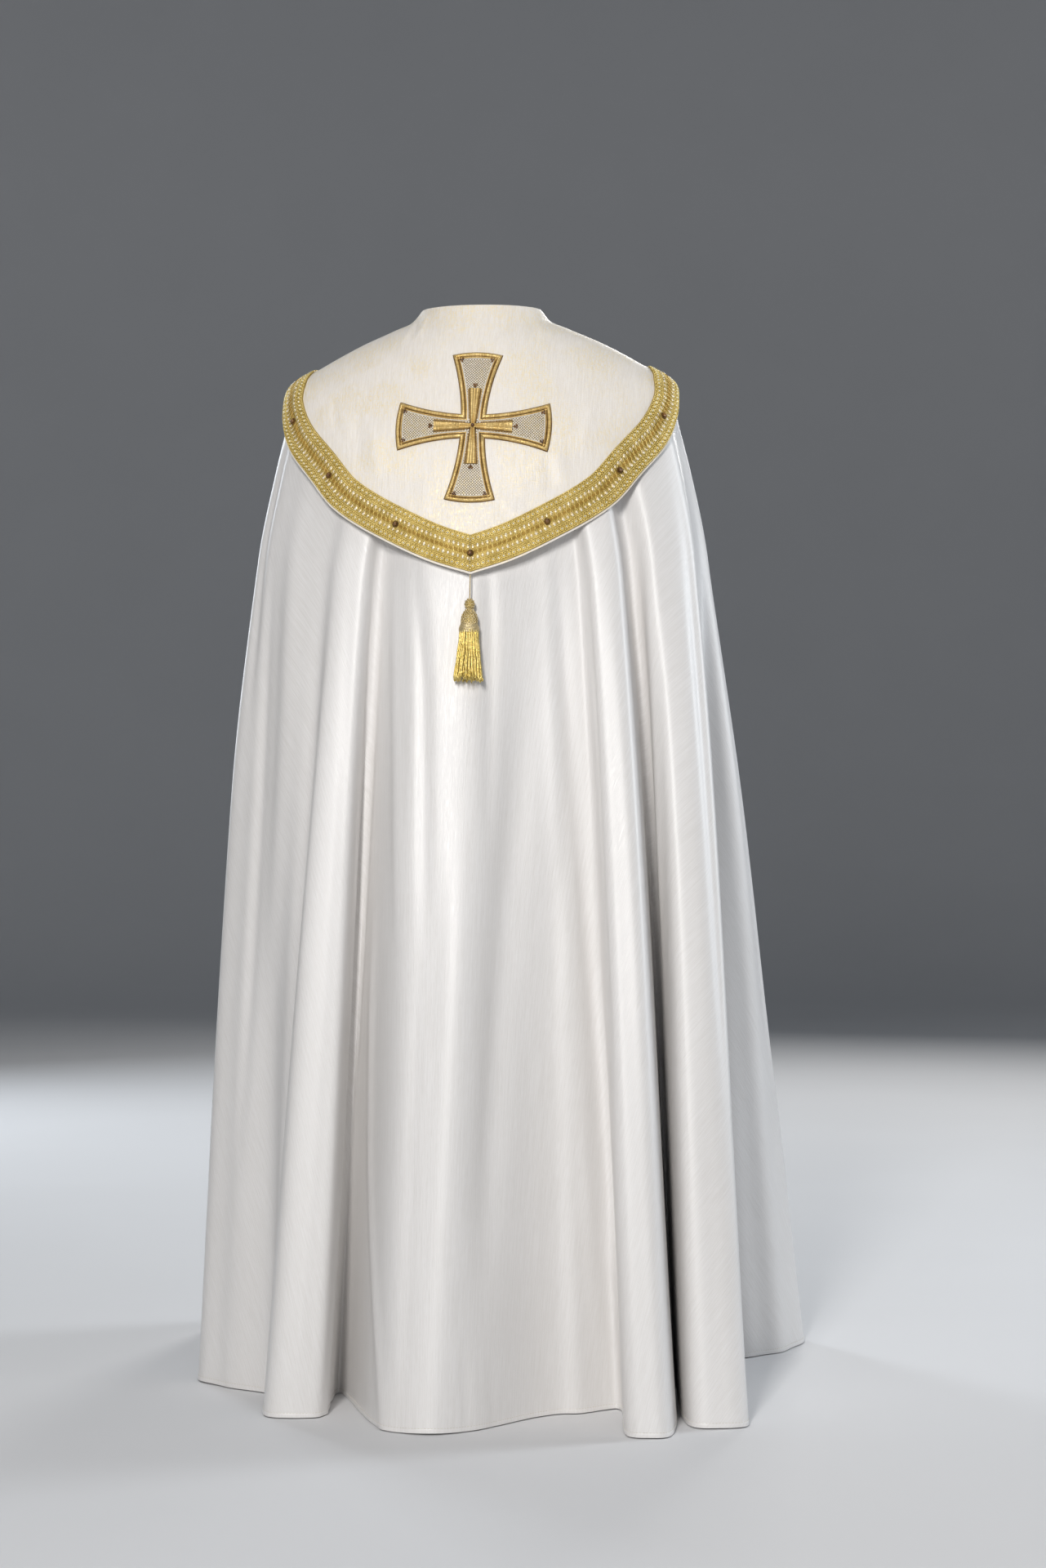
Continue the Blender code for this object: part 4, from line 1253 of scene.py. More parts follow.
@dataclass
class Mantle:
    """The mantle's three panels, their creases, hems and seams."""

    shape: MantleShape
    finishes: Finishes
    shop: Workshop
    creases: tuple[Crease, ...]
    cloth: float = 0.0012
    left_seam_fold: int = 2
    right_seam_fold: int = 8
    middle_fold: int = 5
    neck_radius: float = 0.09
    column_step: float = 0.0075
    rows: int = 112
    hem_depth: float = 0.0058
    hem_fold: float = 0.0004
    stitch_pitch: float = 0.0042
    stitch_size: float = 0.00145
    stitch_stand: float = 0.0001
    fade_share: float = 0.35
    seam_rest: float = 0.03

    @property
    def hem(self) -> float:
        """The level of the hem."""
        return self.shape.form.hem_level

    def build(self) -> list[Piece]:
        """Build the panels and return them."""
        left = self.shape.seam(self.left_seam_fold)
        right = self.shape.seam(self.right_seam_fold)
        last = float(self.shape.knots[-1])
        made, beds, lines = [], [], []
        for name, first, final, grain in (
            ("mantle_front_left", 0.0, left, 90.0),
            ("mantle_back", left, right, 0.0),
            ("mantle_front_right", right, last, -90.0),
        ):
            bed = self.panel_bed(first, final)
            beds.append(bed)
            mesh = grid_mesh(name, bed.points, self.cut(bed, grain))
            piece = wall(add_piece(f"{name}_cloth", mesh, self.finishes.satin), self.cloth)
            made.append(fit(piece, "satin", name))
            lines.append(bed.at(bed.across, self.hem - self.hem_depth, self.stitch_stand))
        for bed, edge, beside in ((beds[0], 0, 1), (beds[-1], -1, -2)):
            reach = np.linalg.norm(bed.points[beside] - bed.points[edge], axis=1).mean()
            place = bed.across[edge] + (bed.across[beside] - bed.across[edge]) * self.hem_depth / reach
            lines.append(bed.at(place, np.linspace(0.004, self.hem - self.hem_depth, 400), self.stitch_stand))
        spots = Spots.joined([spots_along(line, outs, self.stitch_pitch) for line, outs in lines])
        made.append(self.shop.place("hem_stitches", spots, Motif.STITCH, self.stitch_size,
                                    self.finishes.hem_thread, "satin"))
        return made

    def panel_bed(self, first: float, final: float) -> Bed:
        """Return one panel's outer face, with its creases and hem."""
        trial = np.linspace(first, final, 400)
        run = running_length(self.shape.point(trial, self.hem))
        columns = int(run[-1] / self.column_step) + 1
        even = np.interp(np.linspace(0.0, run[-1], columns), run, trial)
        places = even * 0.8 + np.linspace(first, final, columns) * 0.2
        fold = self.hem - self.hem_depth
        body = np.linspace(0.0, fold - 0.0006, self.rows)
        levels = np.concatenate([body, [fold, fold + 0.0008, (fold + self.hem) / 2, self.hem]])
        bed = Bed(places, levels, self.shape.point(places[:, None], levels[None, :]))
        self.add_creases(bed)
        near_hem = levels > fold + 1e-6
        bed.points[:, near_hem] += bed.normals[:, near_hem] * self.hem_fold
        bed.renew()
        return bed

    def add_creases(self, bed: Bed) -> None:
        """Raise the ridges and sink the troughs of the crease table."""
        lengths = np.zeros(bed.points.shape[:2])
        lengths[1:] = np.cumsum(np.linalg.norm(np.diff(bed.points, axis=0), axis=2), axis=0)
        push = np.zeros_like(lengths)
        for crease in self.creases:
            top, _, low = crease.levels
            centre = smooth_through(crease.levels, crease.places, bed.down)
            past_edge = centre - np.clip(centre, bed.across[0], bed.across[-1])
            reach = self.fade_share * (low - top)
            fade = ease(0.0, 1.0, (bed.down - top) / reach)
            if low < self.hem:
                fade = fade * ease(0.0, 1.0, (low - bed.down) / reach)
            for row in np.nonzero(fade > 0)[0]:
                middle = np.interp(centre[row], bed.across, lengths[:, row]) + past_edge[row] * 0.5
                away = (lengths[:, row] - middle) / crease.width
                push[:, row] += np.exp(-away * away) * crease.height * fade[row]
        seams = ease(0.0, self.seam_rest, lengths) * ease(0.0, self.seam_rest, lengths[-1:] - lengths)
        bed.points += bed.normals * (push * seams)[..., None]
        bed.renew()

    def cut(self, bed: Bed, grain: float) -> Array:
        """Return each point's place in the flat cut, turned so that the threads run along v.

        Args:
            bed: The panel.
            grain: The turn of the panel's threads from those of the centre back, in degrees.

        Returns:
            Texture coordinates in metres.
        """
        trial = np.linspace(0.0, self.shape.knots[-1], 1200)
        run = running_length(self.shape.point(trial, self.hem))
        middle = np.interp(self.shape.crest(self.middle_fold), trial, run)
        turn = (np.interp(bed.across, trial, run) - middle) / (self.neck_radius + self.hem)
        angle = (turn + math.radians(grain))[:, None]
        return np.stack([np.sin(angle), -np.cos(angle)], axis=-1) * (self.neck_radius + bed.down)[:, None]


@dataclass
class Hood:
    """The pointed hood's cloth, with its soft puckers."""

    shape: HoodShape
    finishes: Finishes
    puckers: tuple[Pucker, ...]
    cloth: float = 0.0020
    margin: float = 0.0025
    band_width: float = 0.0475
    columns: int = 110
    upper_rows: int = 64

    def half(self, side: int) -> tuple[Array, Array, Array]:
        """Return turn, level and pucker share of one half's grid."""
        margins = self.margin + self.band_width * np.linspace(0.1, 1.0, 10)
        margins = np.concatenate([[0.0, self.margin], margins])
        shares = np.linspace(0.0, 1.0, self.columns + 1)
        band_turn, band_level = self.shape.band(side, shares, margins)
        fractions = np.arange(self.upper_rows) / self.upper_rows
        neck_turn = side * self.shape.end * shares[:, None]
        upper_turn = neck_turn + (band_turn[:, -1:] - neck_turn) * fractions
        turn = np.concatenate([upper_turn, band_turn[:, ::-1]], axis=1)
        level = np.concatenate([band_level[:, -1:] * fractions, band_level[:, ::-1]], axis=1)
        soft = ease(0.0, 0.06, fractions) * ease(1.0, 0.93, fractions)
        return turn, level, np.broadcast_to(np.append(soft, np.zeros(len(margins))), turn.shape)

    def build(self) -> list[Piece]:
        """Build the hood and return it."""
        turn, level, soft = (np.concatenate([a[::-1], b[1:]]) for a, b in zip(self.half(1), self.half(-1)))
        bed = Bed(np.arange(len(turn)), np.arange(turn.shape[1]), self.shape.point(turn, level))
        push = np.zeros(turn.shape)
        for pucker in self.puckers:
            start = np.array([pucker.x_top, pucker.z_top])
            way = np.array([pucker.x_low, pucker.z_low]) - start
            flat = bed.points[..., [0, 2]] - start
            share = (flat @ way) / (way @ way)
            away = np.linalg.norm(flat - np.clip(share, 0, 1)[..., None] * way, axis=-1) / pucker.width
            fade = ease(-0.15, 0.3, share) * ease(1.15, 0.7, share)
            faces = (bed.points[..., 1] > 0) == pucker.behind
            push += np.exp(-away * away) * pucker.height * fade * faces
        bed.points += bed.normals * (push * soft)[..., None]
        piece = wall(add_piece("hood_cloth", grid_mesh("hood", bed.points), self.finishes.lame), self.cloth)
        fit(piece, "lame", "hood")
        return [piece]


@dataclass
class Braid:
    """The wide gold galloon along the hood's edge, worked in threads."""

    shape: HoodShape
    finishes: Finishes
    shop: Workshop
    margin: float = 0.0025
    width: float = 0.0475
    foot: float = 0.0003
    ground: float = 0.0012
    edge_band: float = 0.0125
    cord_rows: tuple[float, ...] = (0.0010, 0.0116, 0.0136)
    eyelet_pitch: float = 0.0071
    eyelet_size: float = 0.0024
    lattice_pitch: float = 0.0134
    lattice_margin: float = 0.0022
    bar_pitch: float = 0.0021
    beads: tuple[float, ...] = (97.0, 71.0, 47.0, 22.0, 0.0, -22.0, -47.0, -71.0, -97.0)
    bead_radius: float = 0.0034
    cup_radius: float = 0.0036
    cup_beads: int = 9
    beds: dict[int, Bed] = field(default_factory=dict)
    lengths: dict[int, Array] = field(default_factory=dict)

    def build(self) -> list[Piece]:
        """Build the braid and return its pieces."""
        strips = [self.strip(side, label) for side, label in ((1, "left"), (-1, "right"))]
        return [*strips, self.cords(), *self.eyelets(), *self.lattice(), *self.bead_clusters()]

    def line(self, side: int, across: float, height: float) -> tuple[Array, Array]:
        """Return a line that runs along one half, with its normals."""
        bed = self.beds[side]
        return bed.at(bed.across, across, self.foot + height)

    def strip(self, side: int, label: str) -> Piece:
        """Work out one half's surface, shares along it by distances across it, and weave its ground."""
        shares = np.linspace(0.0, 1.0, 420)
        across = np.linspace(0.0, self.width, 13)
        bed = Bed(shares, across, self.shape.point(*self.shape.band(side, shares, self.margin + across)))
        self.beds[side] = bed
        run = self.lengths[side] = running_length(bed.points[:, len(across) // 2])
        order = slice(None, None, -1 if side > 0 else 1)
        points = (bed.points + bed.normals * (self.foot + self.ground))[order, ::-1]
        uv = crossed(run, across)[order, ::-1]
        name = f"hood_braid_{label}"
        piece = add_piece(f"{name}_ground", grid_mesh(name, points[::2], uv[::2]), self.finishes.braid_ground)
        fit(wall(piece, self.ground), "braid", name)
        return piece

    def cords(self) -> Piece:
        """Make the twisted cords that part the bands."""
        rows = (*self.cord_rows, *(self.width - across for across in self.cord_rows[::-1]))
        lines = []
        for side in self.beds:
            for across in rows:
                lines.extend(plies(*self.line(side, across, self.ground + 0.0005), 0.00034, 0.0040, steps=5))
        return self.shop.run("braid_cords", lines, 0.00044, self.finishes.braid_gold, "braid", sides=4)

    def eyelets(self) -> list[Piece]:
        """Make the rows of looped eyelets in both edge bands, with knots between them and a pale knot in each
        that paints its highlight.
        """
        rings, painted_highlights, knots = [], [], []
        for side in self.beds:
            for across in (self.edge_band / 2, self.width - self.edge_band / 2):
                spots = spots_along(*self.line(side, across, self.ground + 0.0006), self.eyelet_pitch)
                rings.append(spots)
                # A pale ivory knot in the middle of each eyelet paints the eyelet's highlight.
                painted_highlights.append(Spots(spots.points + spots.outs * 0.0002, spots.outs, spots.alongs))
                sideways = np.cross(spots.outs, spots.alongs)
                for way in (-1.0, 1.0):
                    for ahead, reach, size in ((-0.5, 0.0030, 0.9), (0.0, 0.0042, 0.75)):
                        move = spots.alongs * self.eyelet_pitch * ahead + sideways * way * reach
                        knots.append(Spots(spots.points + move, spots.outs, spots.alongs, size))
        gold, ivory = self.finishes.braid_gold, self.finishes.painted_highlight_ivory
        return [self.shop.place(name, Spots.joined(spots), motif, size, surface, "braid")
                for name, spots, motif, size, surface in (
                    ("braid_eyelets", rings, Motif.RING, self.eyelet_size, gold),
                    ("braid_eyelet_centres", painted_highlights, Motif.KNOT, 0.0013, ivory),
                    ("braid_knots", knots, Motif.KNOT, 0.0015, gold))]

    def lattice(self) -> list[Piece]:
        """Make the middle band: crossing threads, pale triangles, pale dots that paint highlights, and dark
        knots.
        """
        low = self.edge_band + self.lattice_margin
        high = self.width - low
        middle = self.width / 2
        top = self.foot + self.ground
        lines, triangles, sparks, knots = [], [], [], []
        for side, bed in self.beds.items():
            run = self.lengths[side]
            total = float(run[-1])
            count = int(round(total / self.lattice_pitch))
            pitch = total / count
            s = np.linspace(0.0, total, count * 12 + 1)
            wave = 2 * np.abs((s / pitch) % 1.0 * 2 - 1) - 1
            for flip in (1.0, -1.0):
                across = middle + flip * wave * (high - low) / 2
                lift = top + 0.0008 + 0.0004 * np.cos(s / pitch * 2 * math.pi) * flip
                lines.append(bed.at(np.interp(s, run, bed.across), across, lift)[0])
            for edge, way in ((low, 1.0), (high, -1.0)):
                for half, size, spark in ((0.0, 0.8, 0.7), (0.5, 1.0, 1.0)):
                    where = np.interp((np.arange(count) + 0.25 + half) * pitch, run, bed.across)
                    points, outs = bed.at(where, edge + way * 0.0024, top)
                    along = unit(np.cross(unit(bed.at(where, middle, top)[0] - points), outs))
                    triangles.append(Spots(points, outs, along, size))
                    # The pale ivory dots at each triangle's base paint its highlight.
                    bright = bed.at(where, edge + way * 0.0004, top + 0.0007)[0]
                    sparks.append(Spots(bright, outs, along, spark))
            number = int(total / self.bar_pitch)
            for offset, shift in ((-0.0016, 0.0), (0.0, 0.5), (0.0016, 0.0)):
                where = np.interp((np.arange(number) + 0.25 + shift) * total / number, run, bed.across)
                points, outs = bed.at(where, middle + offset, top + 0.0004)
                other = bed.at(where, middle + offset + 0.004, top + 0.0004)[0]
                knots.append(Spots(points, outs, unit(other - points)))
        looks = self.finishes
        made = [self.shop.run("braid_lattice", lines, 0.00040, looks.braid_gold, "braid", sides=4)]
        for name, spots, motif, size, surface in (
            ("braid_triangles", triangles, Motif.TRIANGLE, 0.0030, looks.braid_peach),
            ("braid_sparks", sparks, Motif.KNOT, 0.00150, looks.painted_highlight_ivory),
            ("braid_middle_knots", knots, Motif.KNOT, 0.0010, looks.braid_amber),
        ):
            made.append(self.shop.place(name, Spots.joined(spots), motif, size, surface, "braid"))
        return made

    def bead_clusters(self) -> list[Piece]:
        """Set a bead in a ring of small dark beads at each of the nine places."""
        made, around = [], []
        middle = np.array([self.margin + self.width / 2])
        ring = directions(np.arange(self.cup_beads) * 360.0 / self.cup_beads) * self.cup_radius
        for number, edge_turn in enumerate(self.beads, start=1):
            start = np.array([edge_turn]) if edge_turn else self.shape.mitre_turn(middle)
            turn, level = self.shape.inset(start, middle)
            point = self.shape.point(turn, level, self.foot + self.ground + 0.0002)
            out = self.shape.form.normal(turn + self.shape.middle, level)
            side = unit(np.cross(out, UP))
            spot = Spots(point + out * self.bead_radius * 0.85, out, side)
            made.append(self.shop.place(f"bead_{number}", spot, Motif.BEAD, self.bead_radius * 0.86,
                                        self.finishes.bead, "bead", f"braid_bead_{number}"))
            cup = point + side * ring[:, :1] + np.cross(side, out) * ring[:, 1:] + out * 0.0012
            around.append(Spots(cup, np.repeat(out, len(ring), axis=0), np.repeat(side, len(ring), axis=0)))
        made.append(self.shop.place("bead_cups", Spots.joined(around), Motif.KNOT, 0.0014,
                                    self.finishes.dark_gold, "bead"))
        return made


@dataclass(frozen=True)
class Arm:
    """Half widths and rounding of the arms of a cross whose ends are curved outwards."""

    length: float
    end_half: float
    root_half: float
    bow: float


@dataclass
class EmbroideredCross:
    """The padded gold cross with its lattice, cords and small beads."""

    shape: HoodShape
    finishes: Finishes
    shop: Workshop
    middle_x: float = -0.004
    middle_z: float = -0.1475
    slope: float = 0.985
    tilt: float = 1.2
    across: Arm = Arm(0.0995, 0.0335, 0.0165, 0.0040)
    up: Arm = Arm(0.1005, 0.0335, 0.0165, 0.0040)
    slim: Arm = Arm(0.0520, 0.0075, 0.0030, 0.0010)
    steps: int = 22
    foot: float = 0.0003
    field_height: float = 0.0010
    lattice_pitch: float = 0.0026

    @property
    def top(self) -> float:
        """Height of the field's face over the hood."""
        return self.foot + self.field_height

    def outline(self) -> Array:
        """Return the cross's closed outline, counter-clockwise from the right arm."""
        share = np.arange(self.steps + 1) / self.steps
        spread = 0.25 * share + 0.75 * share ** 2
        turn = 2 * share[1:-1] - 1
        quarters = []
        for quarter in range(4):
            arm, other = (self.across, self.up) if quarter % 2 == 0 else (self.up, self.across)
            along = other.root_half + (arm.length - other.root_half) * share
            half = arm.root_half + (arm.end_half - arm.root_half) * spread
            u = np.concatenate([along, arm.length + arm.bow * (1 - turn ** 2), along[:0:-1]])
            v = np.concatenate([-half, arm.end_half * turn, half[:0:-1]])
            cosine, sine = ((1, 0), (0, 1), (-1, 0), (0, -1))[quarter]
            quarters.append(np.stack([u * cosine - v * sine, u * sine + v * cosine], axis=1))
        return np.concatenate(quarters)

    @staticmethod
    def shrink(outline: Array, distance: float) -> Array:
        """Return a closed outline moved in by a distance."""
        first = unit(outline - np.roll(outline, 1, axis=0))
        second = unit(np.roll(outline, -1, axis=0) - outline)
        side = np.stack([-first[:, 1] - second[:, 1], first[:, 0] + second[:, 0]], axis=1)
        reach = 2.0 / np.maximum((side ** 2).sum(axis=1), 0.6)
        return outline + side * reach[:, None] * distance

    def inner_line(self, outline: Array, distance: float) -> Array:
        """Return a closed outline moved in by a distance, its outer corners trimmed where they cross."""
        moved = self.shrink(outline, distance)
        count = len(moved)
        keep = np.ones(count, dtype=bool)
        reach = self.steps // 2
        for index in range(8):
            corner = count // 4 * (index // 2) + self.steps * (1 + index % 2)
            for i in range(corner - reach, corner):
                for j in range(corner, corner + reach):
                    first, last = moved[i], moved[(j + 1) % count]
                    way = moved[i + 1] - first
                    other = moved[j % count] - last
                    det = way[0] * other[1] - way[1] * other[0]
                    gap = last - first
                    if abs(det) < 1e-12 or not keep[i + 1]:
                        continue
                    share = (gap[0] * other[1] - gap[1] * other[0]) / det
                    back = (gap[0] * way[1] - gap[1] * way[0]) / det
                    if 0 < share <= 1 and 0 < back <= 1:
                        moved[i + 1] = first + way * share
                        keep[i + 2:j + 1] = False
        return moved[keep]

    def on_hood(self, flat: Array, out: float) -> Array:
        """Lay flat coordinates (right and up, seen from behind) on the hood."""
        tilt = math.radians(self.tilt)
        right = flat[..., 0] * math.cos(tilt) + flat[..., 1] * math.sin(tilt)
        up = -flat[..., 0] * math.sin(tilt) + flat[..., 1] * math.cos(tilt)
        turn, level = self.shape.at(self.middle_x - right, self.middle_z + up * self.slope)
        return self.shape.point(turn, level, out)

    def normals(self, flat: Array) -> Array:
        """Return the hood's normals at flat coordinates."""
        return unit(self.on_hood(flat, 0.002) - self.on_hood(flat, 0.0))

    def spots(self, flat: Array, out: float) -> Spots:
        """Return spots at flat coordinates and a height over the hood."""
        outs = self.normals(flat)
        return Spots(self.on_hood(flat, out), outs, np.cross(outs, UP))

    def build(self) -> list[Piece]:
        """Build the cross and return its pieces."""
        outline = self.outline()
        return [
            self.roll("cross_rim_roll", outline, 0.0004, 0.0054, 0.0034, "cross_rim"),
            self.roll("cross_rim_inner", outline, 0.0062, 0.0080, 0.0026),
            self.edge_cords(outline),
            self.ivory_cord(outline),
            self.field(self.shrink(outline, 0.0070)),
            self.lattice(self.inner_line(outline, 0.0098)),
            *self.slim_cross(),
            *self.small_beads(self.shrink(outline, 0.0100)),
        ]

    def roll(self, name: str, outline: Array, first: float, last: float, height: float, *nodes: str) -> Piece:
        """Make a padded satin-stitch roll between two insets from the outline."""
        turns = np.linspace(0.0, math.pi, 9)
        middle = (first + last) / 2
        insets = np.append(middle - np.cos(turns) * (last - first) / 2, middle)
        rises = np.append(height * np.sin(turns) ** 0.8, 0.0)
        rings = np.stack([self.on_hood(self.shrink(outline, inset), self.foot + rise)
                          for inset, rise in zip(insets, rises)], axis=1)
        cut = crossed(running_length(np.concatenate([outline, outline[:1]]))[:-1], insets)
        mesh = grid_mesh(name, rings, cut, loop_across=True, loop_down=True)
        piece = add_piece(name, closed_mesh(mesh), self.finishes.stitch_gold)
        return fit(sharpen(piece, 60.0), "purl", *nodes)

    def edge_cords(self, outline: Array) -> Piece:
        """Make the thin dark cords outside the roll and in the groove inside it; the dark cord in the groove
        paints the groove's shade.
        """
        # The second cord lies in the groove between the rolls and is dark to paint the shade there.
        lines = [self.on_hood(self.inner_line(outline, inset), self.foot + height)
                 for inset, height in ((0.0000, 0.0007), (0.0058, 0.0014))]
        return self.shop.run("cross_edge_cords", lines, 0.00055, self.finishes.dark_gold, "purl", closed=True)

    def ivory_cord(self, outline: Array) -> Piece:
        """Make the thin ivory cord between the rim and the lattice."""
        flat = self.inner_line(outline, 0.0090)
        flat = np.concatenate([flat, flat[:1]])
        plied = plies(self.on_hood(flat, self.foot + 0.0015), self.normals(flat), 0.0003, 0.0040, steps=6)
        return self.shop.run("cross_ivory_cord", plied, 0.00045, self.finishes.cord_ivory, "lame")

    def field(self, outline: Array) -> Piece:
        """Make the ivory cloth under the lattice."""
        steps = self.steps
        quarter = len(outline) // 4
        share = np.linspace(0.0, 1.0, steps + 1)[:, None]
        grids = []
        for index in range(4):
            far = np.roll(outline, -quarter * index, axis=0)[:quarter + 1]
            rows = [far[k] + (far[-1 - k] - far[k]) * share for k in range(steps + 1)]
            grids.append(np.array([*rows, far[steps:2 * steps + 1]]))
        right, up, left, down = outline[::quarter]
        ends = zip(down * (1 - share) + right * share, left * (1 - share) + up * share)
        grids.append(np.array([low + (high - low) * share for low, high in ends]))
        parts = [grid_mesh("part", self.on_hood(grid, 0.0)) for grid in grids]
        mesh = open_mesh(joined_mesh("cross_field", parts), (0.0, 1.0, 0.0))
        normals, points = np.zeros((2, len(mesh.vertices) * 3))
        mesh.vertices.foreach_get("normal", normals)
        mesh.vertices.foreach_get("co", points)
        mesh.vertices.foreach_set("co", points + normals * self.top)
        piece = wall(add_piece("cross_field_cloth", mesh, self.finishes.lame), self.field_height)
        fit(piece, "lame", "cross_field")
        return piece

    def lattice(self, outline: Array) -> Piece:
        """Lay the diagonal threads over the field, clipped to its outline."""
        lines = []
        ends = np.roll(outline, -1, axis=0)
        step = self.lattice_pitch * math.sqrt(2.0)
        for way in (1.0, -1.0):
            low, high = (points[:, 0] + way * points[:, 1] for points in (outline, ends))
            reach = float(np.abs(low).max())
            for offset in np.arange(-reach, reach, step) + step * 0.37:
                crosses = (low - offset) * (high - offset) < 0
                share = ((offset - low[crosses]) / (high[crosses] - low[crosses]))[:, None]
                hits = outline[crosses] + (ends[crosses] - outline[crosses]) * share
                hits = hits[np.argsort(hits[:, 0])]
                for start, end in zip(hits[::2], hits[1::2]):
                    length = float(np.linalg.norm(end - start))
                    if length > 0.0015:
                        count = max(int(length / 0.004), 2)
                        lines.append(start + (end - start) * np.linspace(0.0, 1.0, count)[:, None])
        laid = self.on_hood(np.concatenate(lines), self.top + 0.0003)
        parts = np.split(laid, np.cumsum([len(line) for line in lines])[:-1])
        return self.shop.run("cross_lattice", parts, 0.00036, self.finishes.lattice, "purl", sides=4)

    def slim_cross(self) -> list[Piece]:
        """Make the slender padded cross within, with dotted purl beside its arms."""
        arms, dots, borders = [], [], []
        slim = self.slim
        along = np.linspace(0.002, slim.length, 20)
        half = slim.root_half + (slim.end_half - slim.root_half) * along / slim.length
        section = np.linspace(-1.0, 1.0, 13)
        for quarter in range(4):
            axis, side = directions(90.0 * quarter + np.array([0.0, 90.0]))
            spine = axis * along[:, None]
            rows = []
            for t in section:
                groove = 1 - 0.40 * math.exp(-(t / 0.32) ** 2)
                height = 0.0002 + 0.0038 * (1 - abs(t) ** 4) ** 0.5 * groove
                rows.append(self.on_hood(spine + side * (half * t)[:, None], self.top + height))
            rows.append(self.on_hood(spine, self.top))
            cut = crossed(along, np.append(section, 0.0) * 0.006)
            arms.append(closed_mesh(grid_mesh(f"arm {quarter}", np.stack(rows, axis=1), cut, loop_down=True)))
            edges = []
            for sign in (-1.0, 1.0):
                flat = (spine + side * ((half + 0.0016) * sign)[:, None])[3:]
                dots.append(spots_along(self.on_hood(flat, self.top + 0.0005), self.normals(flat), 0.0019))
                edges.append(spine + side * ((half + 0.0003) * sign)[:, None])
            borders.append(self.on_hood(np.concatenate([edges[0], edges[1][::-1]]), self.top + 0.0007))
        looks = self.finishes
        pad = add_piece("cross_inner_pad", joined_mesh("cross_inner", arms), looks.stitch_gold)
        return [
            fit(sharpen(pad, 50.0), "purl", "cross_inner"),
            self.shop.place("cross_purl", Spots.joined(dots), Motif.KNOT, 0.00085, looks.purl, "purl"),
            self.shop.run("cross_inner_edge", borders, 0.00050, looks.dark_gold, "purl"),
        ]

    def small_beads(self, inner: Array) -> list[Piece]:
        """Set the small clusters of three at corners and arm ends, and the bead in the middle."""
        quarter = len(inner) // 4
        clusters = []
        for index in range(4):
            ahead = directions(90.0 * index) * (self.slim.length + 0.0050)
            corners = (inner[quarter * index + self.steps], inner[quarter * index + 2 * self.steps])
            for anchor in (*corners, ahead):
                inward = math.degrees(math.atan2(-anchor[1], -anchor[0]))
                flat = anchor + directions(inward + np.array([0.0, 120.0, 240.0])) * 0.0019
                clusters.append(self.spots(flat, self.top + 0.0014))
        ring = self.spots(directions(np.array([45.0, 135.0, 225.0, 315.0])) * 0.0050, self.top + 0.0020)
        middle = self.spots(np.zeros((1, 2)), self.top + 0.0050)
        bead, dark = self.finishes.bead, self.finishes.dark_gold
        return [
            self.shop.place("cross_small_beads", Spots.joined(clusters), Motif.BEAD, 0.0016, bead, "bead"),
            self.shop.place("cross_bead_cup", ring, Motif.BEAD, 0.0015, dark, "purl"),
            self.shop.place("cross_middle_bead", middle, Motif.BEAD, 0.0024, bead, "bead", "cross_bead"),
        ]


